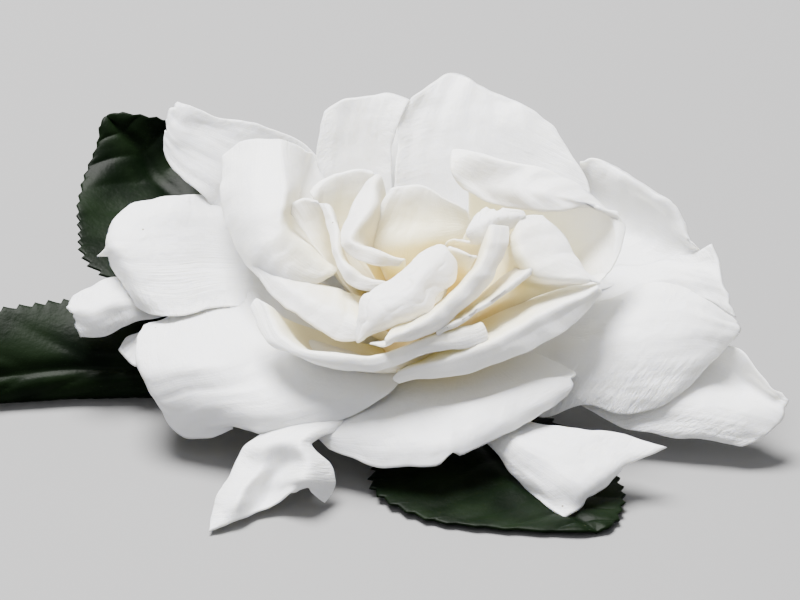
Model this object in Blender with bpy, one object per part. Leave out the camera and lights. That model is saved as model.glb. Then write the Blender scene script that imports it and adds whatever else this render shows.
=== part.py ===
"""A fully double gardenia bloom lying face up on its leaves, with its calyx, short cut stem and three leaves.

Sizes are in millimetres and become metres as each mesh is made. +X is to the right of the bloom, +Y to its
back, where the cut stem points, and +Z up. The tables' zero is on the table, under the stem's bend, and
ORIGIN is where the part's own origin lies there: under the middle of its box. The flower's own frame starts
where the petals leave the tube: right, back along the bloom, and up the flower's axis, which leans forward
by BLOOM_TILT.
"""

from collections import namedtuple
from math import cos, pi, radians, sin

import bmesh
import bpy
import numpy as np

MM = 0.001
ORIGIN = (-15.4, -1.35, 0.0)

BLOOM_BASE = (0.0, -7.0, 9.0)
BLOOM_TILT = 20.0
PETAL_THICKNESS = 0.7
HEART_RADIUS = 5.5
TUBE_RADIUS = 3.0
TUBE_END = -2.9

CALYX_GAP = 0.3
CALYX_RADIUS = 3.4
CALYX_LENGTH = 3.6
SEPALS = 5
SEPAL_REACH = 13.0
SEPAL_WIDTH = 2.2
STEM_RADIUS = 2.9
STEM_SIDES = 12
STEM_PATH = [(0.0, -5.2, 3.5), (0.0, -2.0, 2.75), (0.0, 8.0, 2.75), (1.0, 20.0, 2.85), (3.0, 34.0, 2.75)]

LEAF_THICKNESS = 0.7
TOOTH_DEPTH = 1.1

LIP_START = 0.6
PETAL_GRIDS = {"outer": (6, 6), "wide": (6, 7), "cup": (6, 7), "heart": (6, 5)}
LEAF_GRID = (4, 30)
CORE_SIDES = 12
CORE_PROFILE = [(0.5, TUBE_END), (TUBE_RADIUS, TUBE_END), (4.2, -1.0), (HEART_RADIUS, 1.5), (5.2, 4.0),
                (4.0, 6.0), (1.0, 7.2)]
STEM_STATIONS = 16
FIRST_SEPAL = 20.0

# A petal leaves the heart at a heading in degrees, at a radius and height, and its root is twice as wide as
# that radius. Each of its rows runs from its left margin to its right one, seen from inside the flower, in
# three points or, where it bends more, in five. A petal with a tip ends there, and one without it ends along
# its last row. lip is how far the left, right and end margins roll outwards, and floor is the lowest that its
# middle layer goes.
Petal = namedtuple("Petal", "heading radius height rows tip lip floor", defaults=(None, (0, 0, 0), 0.4))

PETALS = {
    "outer_left": Petal(187, 4, 0, [
        ((-24, 7, 0.5), (-24.5, 11, 1), (-25, 15, 1)),
        ((-37.5, 5, 1), (-37.8, 6.6, 2), (-38.5, 7.6, 2.5), (-39, 9.6, 2.5), (-39.5, 11.5, 2)),
        ((-40.8, 3.4, 1), (-41.8, 4.4, 3), (-42.5, 5.4, 4), (-43, 7.8, 3.5), (-43.2, 11.6, 2.5)),
        ((-43.5, 1.6, 0.8), (-44.6, 2.4, 3), (-45.4, 3.8, 4), (-46, 6.2, 3.5), (-46, 9.8, 2.5)),
        ((-47, 1.8, 0.8), (-47.5, 3, 2), (-48.5, 4.2, 3), (-48.8, 5.8, 3), (-48.4, 7.8, 2.5)),
    ]),
    "outer_left_under": Petal(200, 4, -0.5, [
        ((-20, 0, -0.5), (-20.5, 3, 0), (-21, 6, 0)),
        ((-31, 0, -1), (-32, 2.6, -0.8), (-33, 5.4, -0.6)),
        ((-37.6, -0.2, -1.4), (-39, 1.4, -1.4), (-40.6, 3.8, -1.4)),
        ((-39, -1.4, -1.8), (-40.2, -0.6, -1.8), (-41.8, 1.6, -1.7)),
    ]),
    "outer_front_left": Petal(232, 4, 0, [
        ((-6, -15, 3), (-10, -14, 4), (-15, -13, 3)),
        ((-14, -22, 6), (-15.6, -22.6, 7.2), (-17.6, -22, 6.4), (-20.4, -22, 5.8), (-22.4, -20, 4)),
        ((-11.8, -24, 4.4), (-14.6, -26, 6.8), (-17.6, -24, 4.4), (-21, -25, 4.8), (-24, -23, 3.6)),
        ((-11, -26.2, 3), (-15, -28.6, 6.6), (-19.4, -26.4, 3.2), (-23, -29.2, 5.2), (-26, -27.6, 3.2)),
        ((-11.4, -27.2, 2), (-15, -29, 5.8), (-19.8, -28, 2.6), (-23.6, -31.8, 5.2), (-26.8, -30, 3)),
        ((-12.4, -29.2, 2), (-15.4, -29, 4.8), (-20.2, -31, 2.6), (-23.8, -33.6, 3.8), (-27, -35.2, 4)),
    ]),
    "outer_front_right": Petal(305, 4, 0, [
        ((12, -12, 2), (9, -14, 2.5), (6, -15, 2)),
        ((14.6, -15.8, 3), (13.4, -18.6, 4), (12.4, -20.4, 4.4), (11, -21, 3.4), (9.6, -20.2, 2.2)),
        ((20.4, -18.4, 4.4), (18.4, -21.4, 5), (16.2, -23.8, 5), (14, -24.8, 3.6), (11.8, -23.8, 1.8)),
        ((26.2, -19.4, 5), (23.4, -23.2, 5.4), (20.4, -26.8, 5.4), (17, -28.4, 4), (14.4, -26.6, 1.4)),
        ((29.6, -21.4, 5.4), (25.6, -25, 5.4), (22, -28.4, 5.2), (19, -30.2, 3.6), (16, -29.4, 2)),
        ((32.2, -22.8, 5.8), (27.2, -25, 5), (23, -28.6, 4), (20, -31.2, 3), (18.4, -32.8, 2.8)),
    ], floor=1.9),
    "outer_right": Petal(340, 4, 0, [
        ((24, -1, 1), (21, -4, 1), (18, -8, 1)),
        ((37, -2.8, 4), (34, -3.6, 0.8), (29.8, -8.8, 1.6), (25.6, -11, 1), (22.4, -11.2, 0.6)),
        ((43, -4.2, 5), (40, -5.6, 1.8), (35.6, -11.4, 2.6), (31.4, -13.6, 1.2), (27.4, -14.4, 0.2)),
        ((45.4, -8.2, 4.8), (43.8, -7.8, 1.6), (40.2, -13, 2.6), (36.8, -15, 1.6), (33.8, -16, 0.2)),
        ((47.2, -10.6, 4), (46.8, -11, 2.4), (44.4, -14.2, 2.6), (42, -16.2, 1.4), (39.4, -17, 0.2)),
        ((48.8, -10.8, 3.2), (49.2, -12.6, 2.8), (48, -15, 2), (45.8, -16.8, 1), (43, -17.8, 0.4)),
    ]),
    "wide_left": Petal(172, 4, 1, [
        ((-17, 2.5, 4), (-19, 12, 3), (-19, 20, 4)),
        ((-27, 3.6, 5), (-27.4, 6.8, 5), (-28.6, 12, 5), (-29.2, 17, 6), (-29.4, 23.2, 7)),
        ((-32.4, 1.6, 5), (-33, 4.6, 5.4), (-34.4, 10, 6.6), (-34.6, 15.6, 7.4), (-34.4, 22.6, 8)),
        ((-37, 3.4, 4), (-38.2, 5.4, 5.4), (-39.4, 9.6, 7), (-39.6, 14.4, 8), (-39, 21.8, 8)),
        ((-39.6, 6.2, 2.8), (-40.8, 8.4, 4.8), (-41.8, 10.8, 6.8), (-42.6, 14, 7.8), (-41.8, 19.8, 7.6)),
        ((-40.4, 8.6, 1.6), (-41.6, 10.4, 3), (-43.8, 13.2, 4), (-43.8, 14.2, 7), (-42.8, 17.8, 7)),
    ]),
    "wide_front_left": Petal(215, 4, 1, [
        ((-1, -8, 4), (-8, -6, 4), (-17, 4, 4)),
        ((-2, -10, 5.6), (-6.6, -7, 5.6), (-13.8, -4.8, 6), (-19, -1, 6), (-22.8, 6.8, 4.2)),
        ((-4.8, -14.2, 6), (-11.2, -13.4, 7), (-18, -9.4, 7), (-23.6, -4.4, 7), (-27.2, 5.6, 4)),
        ((-12, -18.2, 5), (-17.8, -16.8, 6.6), (-24, -13, 7), (-28.4, -7.4, 7.6), (-31.4, 4.8, 3.6)),
        ((-19.2, -18.8, 4), (-24.4, -16.8, 5.6), (-30, -13, 6), (-33.6, -8.4, 7), (-34.6, 3, 3.4)),
        ((-24.2, -15.8, 2.6), (-29.2, -15.6, 2), (-34.6, -13, 4), (-37.2, -8, 5.6), (-37, 2.4, 3)),
        ((-25, -16.8, 1), (-32.2, -15.4, -0.4), (-36, -10.8, 2.6), (-38.4, -5.6, 4.6), (-38.2, 1.6, 3)),
    ]),
    "wide_front": Petal(278, 4, 1, [
        ((14, -4, 4), (4, -7, 3), (-4, -11, 4)),
        ((20.6, -9.6, 6), (12.8, -12, 5.6), (2.6, -14.8, 5.2), (-6.6, -16.4, 5), (-14.2, -17.8, 4.6)),
        ((20, -11.4, 7), (14.4, -12.6, 6.8), (4, -18, 6.4), (-6, -19.6, 5.6), (-15, -19, 4.6)),
        ((20.2, -12.4, 6.6), (13.2, -17, 6.6), (4.6, -22.2, 6.4), (-4.6, -22.8, 5.4), (-13.8, -19.6, 4.2)),
        ((19.4, -13.6, 5.8), (13, -18.8, 5.6), (3.8, -24.6, 5.4), (-3.8, -25, 4.6), (-12, -21.2, 3.8)),
    ]),
    "wide_right": Petal(355, 4, 1, [
        ((20, 5, 4), (17, -1, 3), (13, -7, 3)),
        ((26.4, 4.4, 5.6), (23.4, 0, 5), (20.8, -4.2, 4.6), (18.4, -8.4, 3), (15.4, -13.8, 2)),
        ((31.8, 5.4, 7.6), (30, 0, 7.6), (27.2, -5, 6.6), (24.2, -9.4, 4.6), (22, -12.4, 2.4)),
        ((36.4, 4, 8), (36, -0.4, 8), (33.4, -5.6, 7), (30.2, -9.8, 5), (27, -13.8, 2.4)),
        ((40, 1, 7.6), (40, -1.8, 7.6), (38.4, -5, 6.6), (35.2, -9.2, 5), (31.4, -13, 2.8)),
        ((42.8, 0, 6.6), (43.8, -1.8, 6.2), (41.6, -4.8, 5.4), (38.4, -7.8, 4.4), (35, -10.4, 3.2)),
    ]),
    "wide_back_right": Petal(42, 4, 1, [
        ((14, 16, 4), (18, 12, 4), (22, 6, 4)),
        ((22.4, 25.6, 6), (26, 21.6, 5), (30, 17.6, 5), (33.2, 14.4, 5), (38.6, 12, 6.2)),
        ((22.8, 26.2, 9), (26, 22.6, 9), (30, 19.4, 8.6), (33.6, 17, 8), (37.8, 12.6, 8)),
        ((22.6, 26.6, 11), (26.2, 25, 11.6), (30, 21.2, 11), (34, 18, 10.6), (37.4, 16.2, 9.6)),
    ], lip=(0.3, 0, 1.5)),
    "wide_back_left": Petal(142, 4, 1, [
        ((-17, 13, 4), (-15, 20, 4), (-10, 24, 6)),
        ((-28, 20.6, 6), (-24.8, 23.6, 6.6), (-22, 26.2, 7.6), (-19.2, 28.4, 8.6), (-16.2, 30.6, 10)),
        ((-30.4, 22.6, 7.6), (-29, 24.6, 8.6), (-27.2, 27.2, 9.6), (-25, 29.8, 11), (-22.4, 32, 12.6)),
        ((-33.6, 25, 9), (-33, 27.2, 10), (-32, 29.2, 11), (-30.4, 32, 12), (-28.8, 33.4, 13.2)),
        ((-35.8, 27.8, 10), (-35.4, 29.2, 11), (-34.8, 30.2, 12), (-34, 32.4, 13), (-32.8, 34.6, 14)),
        ((-36.6, 29.4, 10.6), (-36.6, 31, 11.6), (-36.4, 32.4, 12.6), (-36, 34.2, 13.6), (-34.8, 35.6, 14.4)),
    ]),
    "wide_back": Petal(103, 4, 1, [
        ((-12, 20, 6), (-8, 22, 6), (-3, 22, 6)),
        ((-14.4, 26.6, 9), (-12, 28.4, 9.6), (-9, 30, 9.6), (-6.2, 30.4, 9.6), (-3.8, 29.2, 9.6)),
        ((-14.4, 31.4, 11.6), (-11.6, 33, 12), (-8.6, 34, 12), (-5.6, 34.4, 12), (-2.8, 34, 12)),
        ((-13.8, 35, 13), (-11, 36.2, 13.6), (-7.6, 37.4, 13.8), (-4.4, 38.4, 13.8), (-1.2, 37.6, 13)),
    ]),
    "wide_back_tall": Petal(78, 4, 1, [
        ((-3.6, 20, 6), (8, 21, 6), (20, 17, 6)),
        ((-3.2, 27.2, 9.6), (1.6, 30.4, 9.6), (7.4, 30.8, 9.6), (14.6, 28.8, 9), (24.4, 23.2, 8)),
        ((-2.6, 34.2, 11.6), (2.4, 36.2, 11.6), (8.2, 36.4, 11.6), (14.6, 34, 11), (21.8, 29.8, 10)),
        ((-0.8, 38.4, 12.6), (4.8, 43.2, 13), (9, 40.8, 12.8), (14.4, 38, 12), (19.8, 33.4, 11)),
    ]),
    "wide_right_behind": Petal(18, 4, 1, [
        ((20, 11, 4), (22, 7, 3.6), (24, 3, 3.6)),
        ((32.4, 15, 4), (32.4, 12.6, 4.7), (33, 10, 5.6), (33.6, 7.6, 5.6), (35, 5.6, 5)),
        ((37.8, 12.6, 6), (38, 10.2, 6.4), (38.2, 8.2, 6.6), (38.8, 5.6, 6), (39.6, 3.8, 5.6)),
        ((40.6, 12.2, 8.6), (41.4, 9, 8), (41.8, 5.6, 7.6), (42.6, 2.8, 7), (43.2, 0.4, 6.2)),
    ]),
    "cup_left": Petal(172, 3, 2, [
        ((-11.2, 6, 8.4), (-13.4, 10, 8), (-16.2, 14.6, 8.4), (-15.8, 20.4, 9), (-14.2, 27.8, 9)),
        ((-11, 3.8, 12.2), (-14.8, 7.6, 12.2), (-18, 10.6, 13), (-17, 18.8, 12.6), (-16.2, 27.2, 12.4)),
        ((-11.2, 2.6, 13), (-15, 4.8, 14.2), (-18.6, 8.4, 15.8), (-18.2, 15, 16.2), (-19, 26.2, 15.2)),
        ((-11.8, 1.8, 12.8), (-16.4, 3, 14.2), (-19.4, 6.4, 15.8), (-19.4, 14.8, 16.4), (-20.4, 26.6, 15.2)),
        ((-13.2, 1.2, 12.2), (-18, 1.8, 14.2), (-21.4, 5.4, 15.2), (-22.8, 15.4, 15.8), (-23, 27.2, 14.4)),
        ((-15.6, 0.4, 11.8), (-18.4, 0.2, 12.8), (-23, 5.2, 13.4), (-25.4, 15, 14.2), (-25.8, 28, 12.8)),
        ((-16.2, 0.2, 10.8), (-19.2, 0.4, 11), (-24.4, 6.8, 11.2), (-27.6, 16.4, 11.4), (-28, 27, 11.2)),
    ]),
    "cup_left_inside": Petal(178, 2, 2, [
        ((-9, 2, 9), (-11, 7, 9), (-9, 11, 9)),
        ((-17.6, 12.6, 13), (-16.2, 14, 14.6), (-13.4, 13.6, 14.6)),
        ((-18, 13.6, 12.8), (-17, 15, 14), (-14, 15, 14.2)),
    ]),
    "cup_front_left": Petal(218, 3, 2, [
        ((-5, -2, 7), (-11, 1, 6), (-17, 6, 7)),
        ((-7.4, -0.8, 11), (-10, 0.4, 11), (-12.8, 2, 11), (-16.4, 3.8, 11), (-20.4, 7.4, 11)),
        ((-7.4, -7.6, 13.6), (-10, -6, 13.6), (-13.6, -3.6, 13.6), (-18, 0, 13.4), (-21.6, 4.2, 13)),
        ((-8.2, -10, 12.8), (-11.4, -9.8, 12.8), (-16, -5.8, 12.8), (-20, -1.4, 12.4), (-22.8, 4, 12)),
    ]),
    "cup_front": Petal(256, 3, 2, [
        ((6.5, -4, 6), (1, -7.5, 5), (-6, -9, 5), (-12, -7, 5), (-16, -1, 6)),
        ((8, -6.8, 12.6), (1, -9.8, 12.8), (-7.2, -13.2, 12.8), (-16, -11.2, 12.8), (-20.6, -3.6, 12.6)),
        ((8.6, -8.4, 12.8), (1, -11.2, 12.8), (-7.2, -14.4, 12.8), (-17.6, -11.8, 12.8), (-21.8, -2.4, 12.4)),
        ((8.8, -9.8, 12), (1.2, -11.8, 12), (-7, -15, 11.8), (-19.2, -10.4, 11.8), (-22.6, -3.6, 11.8)),
    ]),
    "cup_right": Petal(330, 3, 2, [
        ((24.6, 7, 9), (19.4, 4.4, 8), (11, 0, 7.4), (3, -5, 6), (-3.2, -8.6, 5)),
        ((23.8, -2, 14.2), (18.6, -4.4, 13.8), (12.8, -7.8, 13), (6.8, -10.6, 11.6), (-2.6, -12.6, 9.6)),
        ((24.4, -2.2, 13.8), (20.2, -5.2, 13), (13.6, -9.2, 12.2), (7.8, -11.8, 11), (-3.6, -13.6, 9.2)),
        ((24.6, -2.4, 13.4), (21, -6.2, 12), (14.8, -10, 11), (8.4, -12.6, 9.8), (-2.8, -14, 8.4)),
    ]),
    "cup_right_flap": Petal(22, 3, 2, [
        ((11, 10.5, 10), (12, 6, 8.5), (15, 1, 9)),
        ((12.8, 7.3, 16), (12.6, 4.6, 16), (13.7, 1.6, 15.6), (16.2, -0.8, 14.8), (22.8, -1, 14.4)),
        ((14.2, 9.4, 16.4), (14.9, 6.1, 16.6), (16.8, 3.1, 16), (19.9, 0.8, 15.2), (23.4, -1, 14.6)),
        ((16.8, 10.2, 15.8), (18.7, 8.1, 15.4), (20.5, 5.1, 14.8), (22.2, 1.7, 14.3), (24.4, -1.2, 14.2)),
    ]),
    "cup_back_right": Petal(50, 3, 2, [
        ((6, 15, 6), (14, 12, 5), (19, 3, 7)),
        ((7, 20.4, 11), (14, 16.4, 10.6), (20, 13.8, 10), (24, 10.4, 10), (24.2, 2.4, 11.4)),
        ((5.8, 22.4, 14), (12.6, 19.4, 14.6), (19.6, 16.2, 14.6), (26, 11.8, 13.6), (26.4, 4, 12.4)),
        ((5, 23.6, 15.6), (12, 20.4, 16.2), (18.2, 18.2, 16.4), (24.2, 14.4, 15.6), (28.2, 9.2, 13.8)),
        ((4.4, 19.6, 15.2), (9, 18, 14), (14, 15.4, 16), (20.6, 13.2, 16.4), (27.4, 11.4, 15)),
        ((6, 17.5, 13.8), (11.2, 14.9, 13.4), (17.2, 11.5, 15.2), (23.4, 12.1, 15.6), (27.5, 11.7, 14.6)),
    ]),
    "cup_back": Petal(92, 2, 3, [
        ((-8.6, 8.8, 12), (-6, 8, 11.6), (-2.6, 7.4, 11.6), (1.4, 8, 11.6), (6, 9.8, 12)),
        ((-6.6, 10.4, 14), (-4.4, 11.4, 13.6), (-1, 12, 13.6), (2.8, 11.8, 13.8), (7, 11, 14)),
        ((-4, 15.6, 16), (-2, 15.8, 16.4), (0.2, 15.6, 16.6), (2.4, 14.6, 16), (6.4, 11.8, 15.6)),
    ]),
    "cup_back_left": Petal(140, 2, 3, [
        ((-14, 11, 9), (-11, 13.5, 9), (-6, 14.5, 10)),
        ((-14.8, 16.2, 13), (-13.4, 18, 14), (-11, 19.2, 14.6), (-8.6, 19.6, 15), (-6, 18.2, 15.6)),
        ((-15, 17.4, 12.6), (-13.8, 18.8, 13.8), (-11.4, 19.8, 14.6), (-8.8, 20, 15), (-6, 18.8, 15.6)),
    ]),
    "heart_left": Petal(195, 2, 3, [
        ((-3.5, 0, 9), (-8.5, 5, 9), (-10.5, 12, 10)),
        ((-4.2, -1.8, 15), (-8.6, -0.2, 15.2), (-10.8, 3.4, 15.4), (-11.2, 8.4, 15.4), (-12.6, 13, 15)),
        ((-6.4, -3, 14.4), (-10, -1.2, 14.6), (-11.6, 3.6, 14.8), (-12.6, 9.8, 14.8), (-13.8, 14, 14.6)),
    ]),
    "heart_back_left": Petal(165, 2, 3, [
        ((-2, 3, 10), (-5.5, 7, 10), (-4, 13, 11)),
        ((-2, 1.4, 16), (-6.4, 3.6, 16), (-9, 5.6, 16), (-6.2, 11.2, 16.4), (-5.6, 17, 16.8)),
        ((-2.8, 1, 15.2), (-7.8, 2, 15.2), (-10.8, 6.2, 15.2), (-9.4, 11.4, 15.6), (-6.6, 17.4, 16.2)),
    ]),
    "heart_fold": Petal(235, 1.5, 4, [
        ((3, -2, 12), (3.4, 0.4, 12), (2.6, 3, 12)),
        ((4.8, 1.8, 15.4), (4.4, 2.1, 16), (3.9, 2.7, 16.4), (3.4, 3.6, 16.4), (2.9, 4, 16.2)),
        ((4.7, -1.4, 15), (3.9, -0.5, 16.2), (2.5, 0.6, 17), (1.3, 1.8, 16.9), (0, 2.4, 16.3)),
        ((2.4, -4.2, 15), (1.3, -3.6, 16.3), (0.1, -2.8, 17), (-0.9, -1.1, 16.8), (-1.9, 0.2, 16)),
        ((1.3, -7.1, 14.6), (0, -6.4, 15.8), (-1.5, -5.3, 16.5), (-2.9, -3.2, 16.3), (-4.7, -2.2, 15.4)),
        ((-2.7, -8.4, 14.1), (-3.7, -8.4, 15.2), (-5, -7.6, 15.9), (-6.4, -5.8, 15.7), (-7.6, -4.4, 14.8)),
        ((-5.6, -9.5, 13.5), (-6.2, -9.6, 14.5), (-7, -9, 14.9), (-7.5, -7.9, 14.7), (-8.1, -6.3, 14.1)),
    ], (-8.2, -10.7, 12.8)),
    "heart_wing": Petal(20, 1.5, 4, [
        ((2, 3, 12), (4, 2.5, 11.5), (6, 1, 12)),
        ((3.6, 4.2, 15.6), (5.8, 3, 15.6), (7.6, 2.4, 15.6)),
        ((4, 4.8, 15.4), (6.2, 3.4, 15.4), (7.8, 2.8, 15.2)),
    ]),
    "heart_right": Petal(322, 2, 3, [
        ((8, 7, 11), (4.4, 0, 11), (-2.6, -5.2, 11)),
        ((9.4, 7, 17), (7.8, 0.6, 16.6), (4.6, -4.2, 16), (0.6, -8.8, 15.4), (-4.6, -12, 14.8)),
        ((10.6, 7.2, 17.2), (9.4, 0.6, 16.6), (6.2, -4.6, 15.8), (1.2, -9.8, 15), (-5.4, -12.2, 14.4)),
        ((12, 7.4, 16.6), (11, 1.8, 15.4), (8, -3.6, 14.4), (1.4, -10, 13.8), (-6.8, -11.4, 13.8)),
    ]),
    "heart_right_rim": Petal(325, 2, 3, [
        ((12, 5, 10), (7, -1, 10), (0, -6, 10)),
        ((14.8, 0.8, 15.4), (11.8, -2.4, 15), (8.4, -5.4, 14.6), (5.4, -7.6, 14.2), (2, -9.6, 13.6)),
        ((15, 0.2, 15), (12, -2.8, 14.6), (8.6, -5.8, 14.2), (5.6, -8, 13.8), (2.2, -10, 13.2)),
    ]),
    "heart_back": Petal(48, 2, 3, [
        ((3.6, 8.8, 12), (6.8, 7.6, 12), (9.2, 7.4, 12)),
        ((6.8, 6.4, 15), (8.7, 5.6, 15.4), (10.1, 7.5, 16), (11.9, 8.1, 16), (13.9, 9.3, 15.8)),
        ((6.4, 6.9, 16), (8.2, 7.1, 17), (10.1, 8.1, 17.3), (12, 8.7, 17.1), (14.3, 9.4, 16.4)),
        ((7.4, 9.2, 16.4), (9, 10.7, 17.1), (10.4, 9.9, 17.1), (12, 10.3, 17.1), (14, 10.4, 16.4)),
    ]),
    "outer_back_right": Petal(62, 4, -0.5, [
        ((3, 16, 2), (9, 15, 1.5), (15, 10, 2)),
        ((4, 29, 4.5), (13, 27, 4), (22, 19, 4)),
        ((9, 36, 6.5), (15, 33, 6.5), (23, 26, 6)),
    ], (16, 36.5, 7)),
    "outer_back": Petal(103, 4, -0.5, [
        ((-9, 14, 2), (-3.5, 16, 1.5), (3, 16, 2)),
        ((-14, 27, 4.5), (-6, 29, 4), (4, 30, 4.5)),
        ((-13, 35, 7), (-7, 37, 6.5), (1, 36, 6.5)),
    ], (-8, 40, 7.5)),
    "outer_back_left": Petal(146, 4, -0.5, [
        ((-16, 4, 1.5), (-14, 9, 1), (-9, 14, 2)),
        ((-24, 12, 2.5), (-20, 17, 3.5), (-14, 23, 5)),
        ((-26, 18, 4.5), (-23.5, 22, 5.5), (-18, 27, 6.5)),
    ], (-26, 25, 6.5)),
}

# A leaf's rows run from its stalk to its tip, over the table: left margin, midrib and right margin.
# Teeth start at the row whose number is teeth_from.
Leaf = namedtuple("Leaf", "rows tip teeth_from")

LEAVES = {
    "leaf_back_left": Leaf([
        ((-3.5, 4.4, 2.4), (-3.7, 5.2, 2.6), (-3.3, 6.0, 2.4)),
        ((-8.5, 6.0, 3.2), (-8.5, 7.4, 3.4), (-7.5, 8.8, 3.3)),
        ((-24.0, 4.0, 5.6), (-17.0, 13.0, 6.4), (-8.5, 20.0, 6.5)),
        ((-45.5, 10.5, 12.5), (-30.0, 23.0, 13.0), (-15.0, 31.0, 13.5)),
        ((-49.8, 21.0, 16.0), (-39.5, 33.5, 17.5), (-27.0, 38.2, 21.0)),
        ((-49.9, 30.0, 18.5), (-42.4, 36.6, 21.2), (-34.5, 38.6, 23.6)),
        ((-48.3, 35.5, 21.9), (-45.4, 37.6, 23.9), (-41.5, 38.5, 25.4)),
    ], (-47.2, 38.4, 25.6), 2),
    "leaf_left": Leaf([
        ((-3.5, 0.2, 2.0), (-3.6, 1.0, 2.3), (-3.5, 1.8, 2.2)),
        ((-9.0, -0.8, 2.0), (-9.0, 0.4, 2.4), (-9.0, 1.8, 2.6)),
        ((-20.0, -5.0, 1.5), (-20.0, -2.5, 4.5), (-20.5, 4.0, 7.5)),
        ((-34.0, -5.0, 0.6), (-34.0, -4.8, 5.0), (-34.5, 3.5, 10.5)),
        ((-50.0, -5.5, 0.4), (-50.0, -5.0, 5.0), (-50.5, 3.5, 11.0)),
        ((-66.0, -8.0, 0.8), (-66.0, -8.5, 4.5), (-66.5, -2.5, 10.0)),
    ], (-80.0, -13.0, 5.0), 2),
    "leaf_front": Leaf([
        ((4.1, -3.4, 1.6), (3.6, -4.0, 1.8), (3.0, -4.7, 1.6)),
        ((6.5, -8.5, 1.6), (5.2, -9.4, 1.7), (3.8, -10.2, 1.6)),
        ((16.0, -14.0, 2.4), (8.0, -19.0, 1.6), (-3.0, -20.0, 1.6)),
        ((23.5, -24.0, 2.2), (13.0, -29.0, 1.2), (-6.0, -31.0, 1.2)),
        ((26.0, -32.0, 1.4), (18.0, -35.5, 0.7), (1.0, -38.5, 0.7)),
        ((25.5, -37.0, 0.8), (20.5, -39.0, 0.6), (11.0, -41.0, 0.6)),
    ], (22.5, -41.5, 0.6), 2),
}


def metres(point):
    """A point of the tables in metres from the part's origin."""
    return (np.asarray(point, float) - ORIGIN) * MM


def flower_to_table(points):
    """Points in the flower's own frame, right, back and up its axis, as points over the table."""
    lean = radians(BLOOM_TILT)
    frame = np.array([(1, 0, 0), (0, cos(lean), sin(lean)), (0, -sin(lean), cos(lean))])
    return np.array(BLOOM_BASE) + np.asarray(points, float) @ frame


def spline(points, knots, at):
    """A smooth curve through points, each reached at its knot, read at the values in at."""
    points = np.asarray(points, float)
    slopes = np.empty_like(points)
    for i in range(len(points)):
        before = max(i - 1, 0)
        after = min(i + 1, len(points) - 1)
        slopes[i] = (points[after] - points[before]) / (knots[after] - knots[before])
    k = np.clip(np.searchsorted(knots, at, side="right") - 1, 0, len(knots) - 2)
    step = (knots[k + 1] - knots[k])[:, None]
    t = ((at - knots[k]) / (knots[k + 1] - knots[k]))[:, None]
    return ((2 * t**3 - 3 * t**2 + 1) * points[k] + (t**3 - 2 * t**2 + t) * step * slopes[k]
            + (3 * t**2 - 2 * t**3) * points[k + 1] + (t**3 - t**2) * step * slopes[k + 1])


QUARTERS = np.linspace(-1, 1, 5)


def five_points(row):
    """A row's points at its margins, quarters and middle. One of three points bends as a parabola does."""
    if len(row) == 5:
        return row
    left, middle, right = (np.asarray(p, float) for p in row)
    bow = (left + right) / 2 - middle
    return [middle + u * (right - left) / 2 + u * u * bow for u in QUARTERS]


def sheet_between(rows, tip, across, along):
    """A grid of points over a blade, from its first row to its tip or last row, and how near each is to it."""
    rows = np.array([five_points(row) for row in rows], float)
    ends = [] if tip is None else [tip]
    middle = np.array(list(rows[:, 2]) + ends, float)
    knots = np.concatenate([[0], np.cumsum(np.sqrt(np.linalg.norm(np.diff(middle, axis=0), axis=1)))])
    knots /= knots[-1]
    v = np.linspace(0, 1, along + 1)
    if ends:
        outline = np.vstack([rows[:, 0], tip, rows[::-1, 4]])
        outline_knots = np.concatenate([knots, 2 - knots[-2::-1]])
        left = spline(outline, outline_knots, v)
        right = spline(outline, outline_knots, 2 - v)
    else:
        left, right = (spline(rows[:, k], knots, v) for k in (0, 4))
    centre = spline(middle, knots, v)
    u = np.linspace(-1, 1, across + 1)
    spread = u[None, :, None]
    grid = centre[:, None] + spread * (right - left)[:, None] / 2
    grid += spread**2 * ((left + right) / 2 - centre)[:, None]
    weights = spline(np.eye(5), QUARTERS, u)
    for k in (1, 3):
        plain = np.array([five_points(row[::2])[k] for row in rows])
        extra = np.vstack([rows[:, k] - plain] + [np.zeros(3)] * len(ends))
        grid += weights[None, :, k, None] * spline(extra, knots, v)[:, None]
    length = np.linalg.norm(np.diff(centre, axis=0), axis=1).sum()
    half_width = np.linalg.norm(right - left, axis=1).max() / 2
    return grid, np.clip(1 - (1 - v) * length / half_width, 0, 1)


def grid_normals(grid):
    """Unit normals of a grid of points. The row of a tip is given the mean of the row before it."""
    normals = np.cross(np.gradient(grid, axis=1), np.gradient(grid, axis=0))
    normals /= np.maximum(np.linalg.norm(normals, axis=2, keepdims=True), 1e-9)
    if ends_in_tip(grid):
        end = normals[-2].mean(axis=0)
        normals[-1] = end / np.linalg.norm(end)
    return normals


def ends_in_tip(grid):
    """Whether the last row of a grid is one point."""
    return np.ptp(grid[-1], axis=0).max() < 1e-6


def petal_grid(petal, across, along):
    """The middle layer of a petal, over the table."""
    turn = radians(petal.heading)
    root = np.array((petal.radius * cos(turn), petal.radius * sin(turn), petal.height))
    aside = petal.radius * np.array((-sin(turn), cos(turn), 0))
    rows = [(root + aside, root, root - aside)] + petal.rows
    grid, tipness = sheet_between(rows, petal.tip, across, along)
    u = np.linspace(-1, 1, across + 1)[None, :]
    tipness = tipness[:, None]
    margin = np.clip((np.abs(u)**4 + tipness**4)**0.25, 0, 1)
    roll = np.where(u < 0, petal.lip[0], petal.lip[1]) * np.clip(1.5 * np.abs(u) * (1 - tipness**2), 0, 1)
    roll = roll + petal.lip[2] * tipness**2
    band = np.clip((margin - LIP_START) / (1 - LIP_START), 0, 1)**2
    grid = flower_to_table(grid - grid_normals(grid) * (band * roll)[..., None])
    grid[..., 2] = np.maximum(grid[..., 2], petal.floor)
    return grid


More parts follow.
